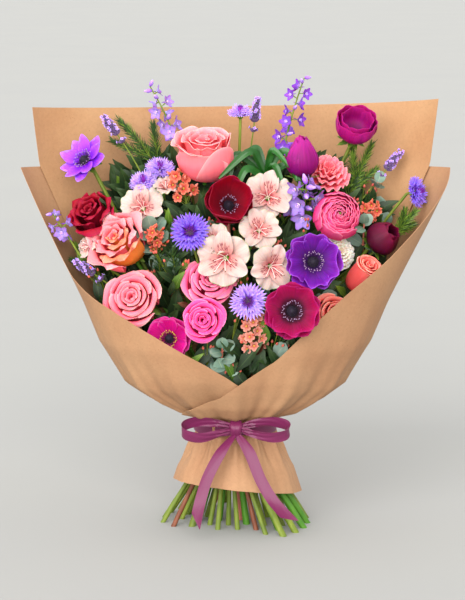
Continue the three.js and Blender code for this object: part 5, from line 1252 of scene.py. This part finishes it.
# The free edge of the flaps: turn from the front and height
NECK_LEFT = [(-97.5, 402), (-90, 325), (-82.5, 287), (-67.5, 270), (-52.5, 254), (-31, 225), (2, 174),
    (40, 140)]
NECK_RIGHT = [(-60, 128), (-29, 143), (-8, 159), (17, 202), (31, 242), (43, 276), (58, 310), (82.5, 376),
    (97.5, 402)]
OUTER_START = 37.5  # turn of the left flap's end, which lies under the right one
OUTER_STEPS, LINER_STEPS = np.arange(0, 450.1, 1.5), np.arange(0, 135.1, 1.5)
PAPER_THICK = 0.5
CREASE_SEED = 4


def creases(phi, z):
    """Soft unevenness of the paper: a few long waves."""
    rng = random.Random(CREASE_SEED)
    total = 0
    for _ in range(7):
        a, b, c = rng.uniform(1.5, 6), rng.uniform(0.01, 0.035), rng.uniform(0, ANY_TURN)
        total = total + np.sin(a * phi * DEG + b * z + c)
    return total / 7


def wrap_points(phi, z, out):
    """Points of the wrap, `phi` degrees from the front towards +X and `out` mm outside its middle layer."""
    wave = phi / PLEAT * math.pi
    ridge = np.cos(wave) + 0.28 * np.cos(3 * wave + 0.5 * np.sin(phi * 0.11))
    gather = along(GATHER, z) * (0.15 + 0.85 * ease(68, 100, z))
    shift = out + gather * ridge + 1.6 * creases(phi, z) * np.clip((z - 130) / 60, 0, 1)
    a, b = along(WRAP, z, 1) + shift, along(WRAP, z, 2) + shift
    return np.stack([a * np.sin(phi * DEG), -b * np.cos(phi * DEG), z], -1)


def outer_top(phi):
    """Height of the outer sheet's free edge: its left neckline, its level back and its right neckline."""
    column = (OUTER_START - phi) / PLEAT
    left, right = along(NECK_LEFT, phi), along(NECK_RIGHT, phi + 360)
    back = 402 - 8 * np.sin((column - 9) / 11 * math.pi)
    return np.where(column <= 9, left, np.where(column >= 20, right, back))


def hem(phi):
    return 43 + 9 * np.cos(phi * DEG) - 7 * np.sin(phi * DEG)


def paper_piece(name, node, phi, tops, out_at, finish, rows):
    """A sheet of the wrap over the turns `phi`, from its hem up to `tops`, with its rows closer at the tie."""
    share = np.linspace(0, 1, rows)[:, None] ** 1.25
    low = hem(phi)
    z = low[None, :] + (tops - low)[None, :] * share
    points = wrap_points(np.broadcast_to(phi, z.shape), z, out_at(phi[None, :], z))
    columns = len(phi)
    faces = [(i * columns + j, i * columns + j + 1, (i + 1) * columns + j + 1, (i + 1) * columns + j)
             for i in range(rows - 1) for j in range(columns - 1)]
    uvs = np.stack([np.broadcast_to(phi / 360, z.shape).ravel(), (z / 500).ravel()], 1)
    heap = Heap(1)
    heap.sheets.append((points.reshape(-1, 3), faces, uvs, 0.5, 0))
    make_piece(name, heap, [node], [finish], thick=PAPER_THICK, smooth=40)


def overlap_out(phi, z):
    """How far the outer sheet stands off its middle layer. Its right flap lies over the left one, which dips
    under the edge of the right one."""
    column = (OUTER_START - phi) / PLEAT
    out = 1.45 * ease(9, 22, column) + 0 * z
    above = column > 15
    front = np.where(above, phi + 360, phi)
    edge = along(NECK_RIGHT, front)
    crossed = 1 - ease(-14, 6, front)
    stand = 3.0 * ease(0, 1, (z - edge + 45) / 45)
    dip = -6.0 * np.exp(-(((z - edge) / 20) ** 2))
    return out + np.where(above, stand, dip) * crossed


def liner_out(phi, z):
    """The liner lies inside the outer sheet and leans in a little more towards its top."""
    return -1.85 - 1.2 * np.clip((z - 380) / 90, 0, 1)


def build_paper():
    outer = OUTER_START - OUTER_STEPS
    paper_piece("outer_paper", "paper_outer_sheet", outer, outer_top(outer), overlap_out, KRAFT_OUTER, 60)
    liner = -112.5 - LINER_STEPS
    top = 461 + 10 * ((-liner - 180) / 67.5) ** 2 - (liner + 180) * 0.07
    paper_piece("liner_paper", "paper_liner_sheet", liner, top, liner_out, KRAFT_LINER, 72)


# ---------------------------------------------------------------- ribbon and twine
RIBBON_WIDE = 15.0
BAND = (46.5, 39.5)  # half width and depth of the ribbon's band
KNOT = vec(1, -45.5, TIE_Z + 4)
LOOP = [(2, 0, 1), (20, 2, 6), (40, 2, 8), (55, 4, 5), (59, 8, 0), (54, 13, -5), (38, 15, -7), (19, 9, -4),
        (2, 1, 0)]
TAILS = (
    [(0, -48, 112), (-15, -62, 96), (-30, -74, 70), (-38, -85, 46), (-43, -88, 24)],
    [(2, -48, 112), (16, -63, 95), (28, -75, 68), (42, -84, 46), (60, -86, 26)],
)
TAIL_FACES = [vec(1, -0.1, 0.35 - 0.08 * i) for i in range(5)]
COILS, COIL_STEPS, COIL_RADIUS = 4, 28, 25.2


def strip(heap, route, across, width, steps=60, columns=8, crown=0.5, crumple=0.0, pinch=(), slant=0.0):
    """A strip of ribbon along a route of points, lying across the given directions. `pinch` lists where it is
    gathered: place, reach and how narrow. `slant` cuts its end aslant."""
    t = np.linspace(0, 1, steps)
    path, wide = spline(route, t), spline(across, t)
    ahead = np.gradient(path, axis=0)
    ahead /= np.linalg.norm(ahead, axis=1)[:, None]
    wide = wide - ahead * np.sum(wide * ahead, 1)[:, None]
    wide /= np.linalg.norm(wide, axis=1)[:, None]
    out = np.cross(ahead, wide)
    narrow = np.ones(steps)
    for at, reach, least in pinch:
        narrow = np.minimum(narrow, least + (1 - least) * np.clip(np.abs(t - at) / reach, 0, 1) ** 0.7)
    points, uvs = [], []
    length = np.concatenate([[0], np.cumsum(np.linalg.norm(np.diff(path, axis=0), axis=1))])
    for i in range(steps):
        for j in range(columns + 1):
            u = 2 * j / columns - 1
            lift = crown * (1 - u * u) + crumple * (1 - narrow[i] + 0.1) * math.sin(u * 7 + i * 0.35)
            end = u * slant * ease(0.6, 1, t[i])
            points.append(path[i] + wide[i] * (u * width / 2 * narrow[i]) + out[i] * lift + ahead[i] * end)
            uvs.append(((u + 1) / 2 * 0.15, length[i] / 100))
    faces = [(i * (columns + 1) + j, i * (columns + 1) + j + 1, (i + 1) * (columns + 1) + j + 1,
        (i + 1) * (columns + 1) + j)
             for i in range(steps - 1) for j in range(columns)]
    heap.sheets.append((np.array(points), faces, np.array(uvs), 0.5, 0))


def build_ribbon():
    heap = Heap(2)
    turns = np.linspace(0, 2 * math.pi, 41)
    band = [vec(BAND[0] * math.sin(a), -BAND[1] * math.cos(a), TIE_Z + 0.8 * math.sin(3 * a)) for a in turns]
    strip(heap, band, [vec(0, 0, 1)] * len(band), RIBBON_WIDE, 160, 8, 0.3, 0.6,
          ((0.0, 0.08, 0.6), (1.0, 0.08, 0.6)))
    for way in (-1, 1):
        path = [KNOT + vec(way * x, -y - 1, z) for x, y, z in LOOP]
        strip(heap, path, [vec(0, -0.3, 1)] * len(path), RIBBON_WIDE * 0.86, 80, 8, 0.6, 2.0,
              ((0.0, 0.3, 0.4), (1.0, 0.3, 0.4)))
    for route in TAILS:
        path = [vec(*p) for p in route]
        strip(heap, path, TAIL_FACES, RIBBON_WIDE * 0.84, 60, 8, 0.8, 0.8, ((0.0, 0.25, 0.35),), 8)
    for k in range(5):
        a = k * 0.7 - 1.4
        route = [KNOT + vec(a * 2.2, 1.0, 8.5), KNOT + vec(a * 3.2, -4.5, 4), KNOT + vec(a * 2.6, -6.2, -1),
            KNOT + vec(a * 2.4, -3, -7.5)]
        strip(heap, route, [vec(1, 0.35 * a, 0)] * 4, 5.5, 24, 6, 0.9, 1.2)
    make_piece("satin_bow", heap, ["satin_ribbon"], [satin_finish()], thick=0.5, smooth=60)


def build_twine():
    heap = Heap(2)
    steps = COILS * COIL_STEPS
    turn = 2 * math.pi / COIL_STEPS
    tube(heap, [polar(i * turn, COIL_RADIUS, TIE_Z - 2.7 + 5.4 * i / steps) for i in range(steps + 1)], 0.8, 8,
         0.5, 0)
    make_piece("twine_coils", heap, ["binding_twine"], [TWINE])


# ---------------------------------------------------------------- floor, light and camera
SKY = 1.25
KEY = 4.8
KEY_SOFTNESS = 1.2
KEY_FROM = (-0.24, -0.9, 0.34)
LENS = 128.9
LOOK_AT = AXIS + Vector((-0.0028, 0, 0.255))
LOOK_FROM = LOOK_AT + Vector((0, -2.3635, 0.4168))


def build_stage():
    deselect()
    bpy.ops.mesh.primitive_plane_add(size=60, location=(0, 0, 0))
    floor = bpy.context.object
    floor.name = "floor"
    paint = Finish("floor_paint", roughness=0.9)
    cloud = paint.noise(paint.node("TexCoord").outputs["Object"], 3)
    floor.data.materials.append(paint.finish(paint.ramp(cloud, [(0.3, "a1a19f"), (0.7, "a3a3a0")])))
    world = bpy.data.worlds.new("studio")
    world.use_nodes = True
    sky = world.node_tree.nodes["Background"].inputs
    sky["Color"].default_value = (1, 1, 0.99, 1)
    sky["Strength"].default_value = SKY
    bpy.context.scene.world = world
    bpy.context.scene.view_settings.view_transform = "Standard"
    lamp = bpy.data.lights.new("key", "SUN")
    lamp.energy = KEY
    lamp.angle = KEY_SOFTNESS
    lamp.color = (1, 0.99, 0.975)
    body = bpy.data.objects.new("key", lamp)
    body.rotation_euler = Vector(KEY_FROM).to_track_quat("Z", "Y").to_euler()
    bpy.context.scene.collection.objects.link(body)
    camera = bpy.data.cameras.new("camera")
    camera.sensor_fit = "VERTICAL"
    camera.sensor_height = 36
    camera.lens = LENS
    body = bpy.data.objects.new("camera", camera)
    body.location = LOOK_FROM
    body.rotation_euler = (LOOK_AT - LOOK_FROM).to_track_quat("-Z", "Y").to_euler()
    bpy.context.scene.collection.objects.link(body)
    bpy.context.scene.camera = body


KRAFT_OUTER = kraft_finish("kraft_outer", "a27756", "ad8562", "7b522f")
KRAFT_LINER = kraft_finish("kraft_liner", "a87c56", "b48b64", "805532")
TWINE = plain_finish("twine_brown", "6b4a26", "a07c48", 500, 0.9)

for build in (build_flowers, build_lilies, build_sprays, build_stems, build_collars, build_fillers, build_paper,
              build_ribbon, build_twine, build_stage):
    build()
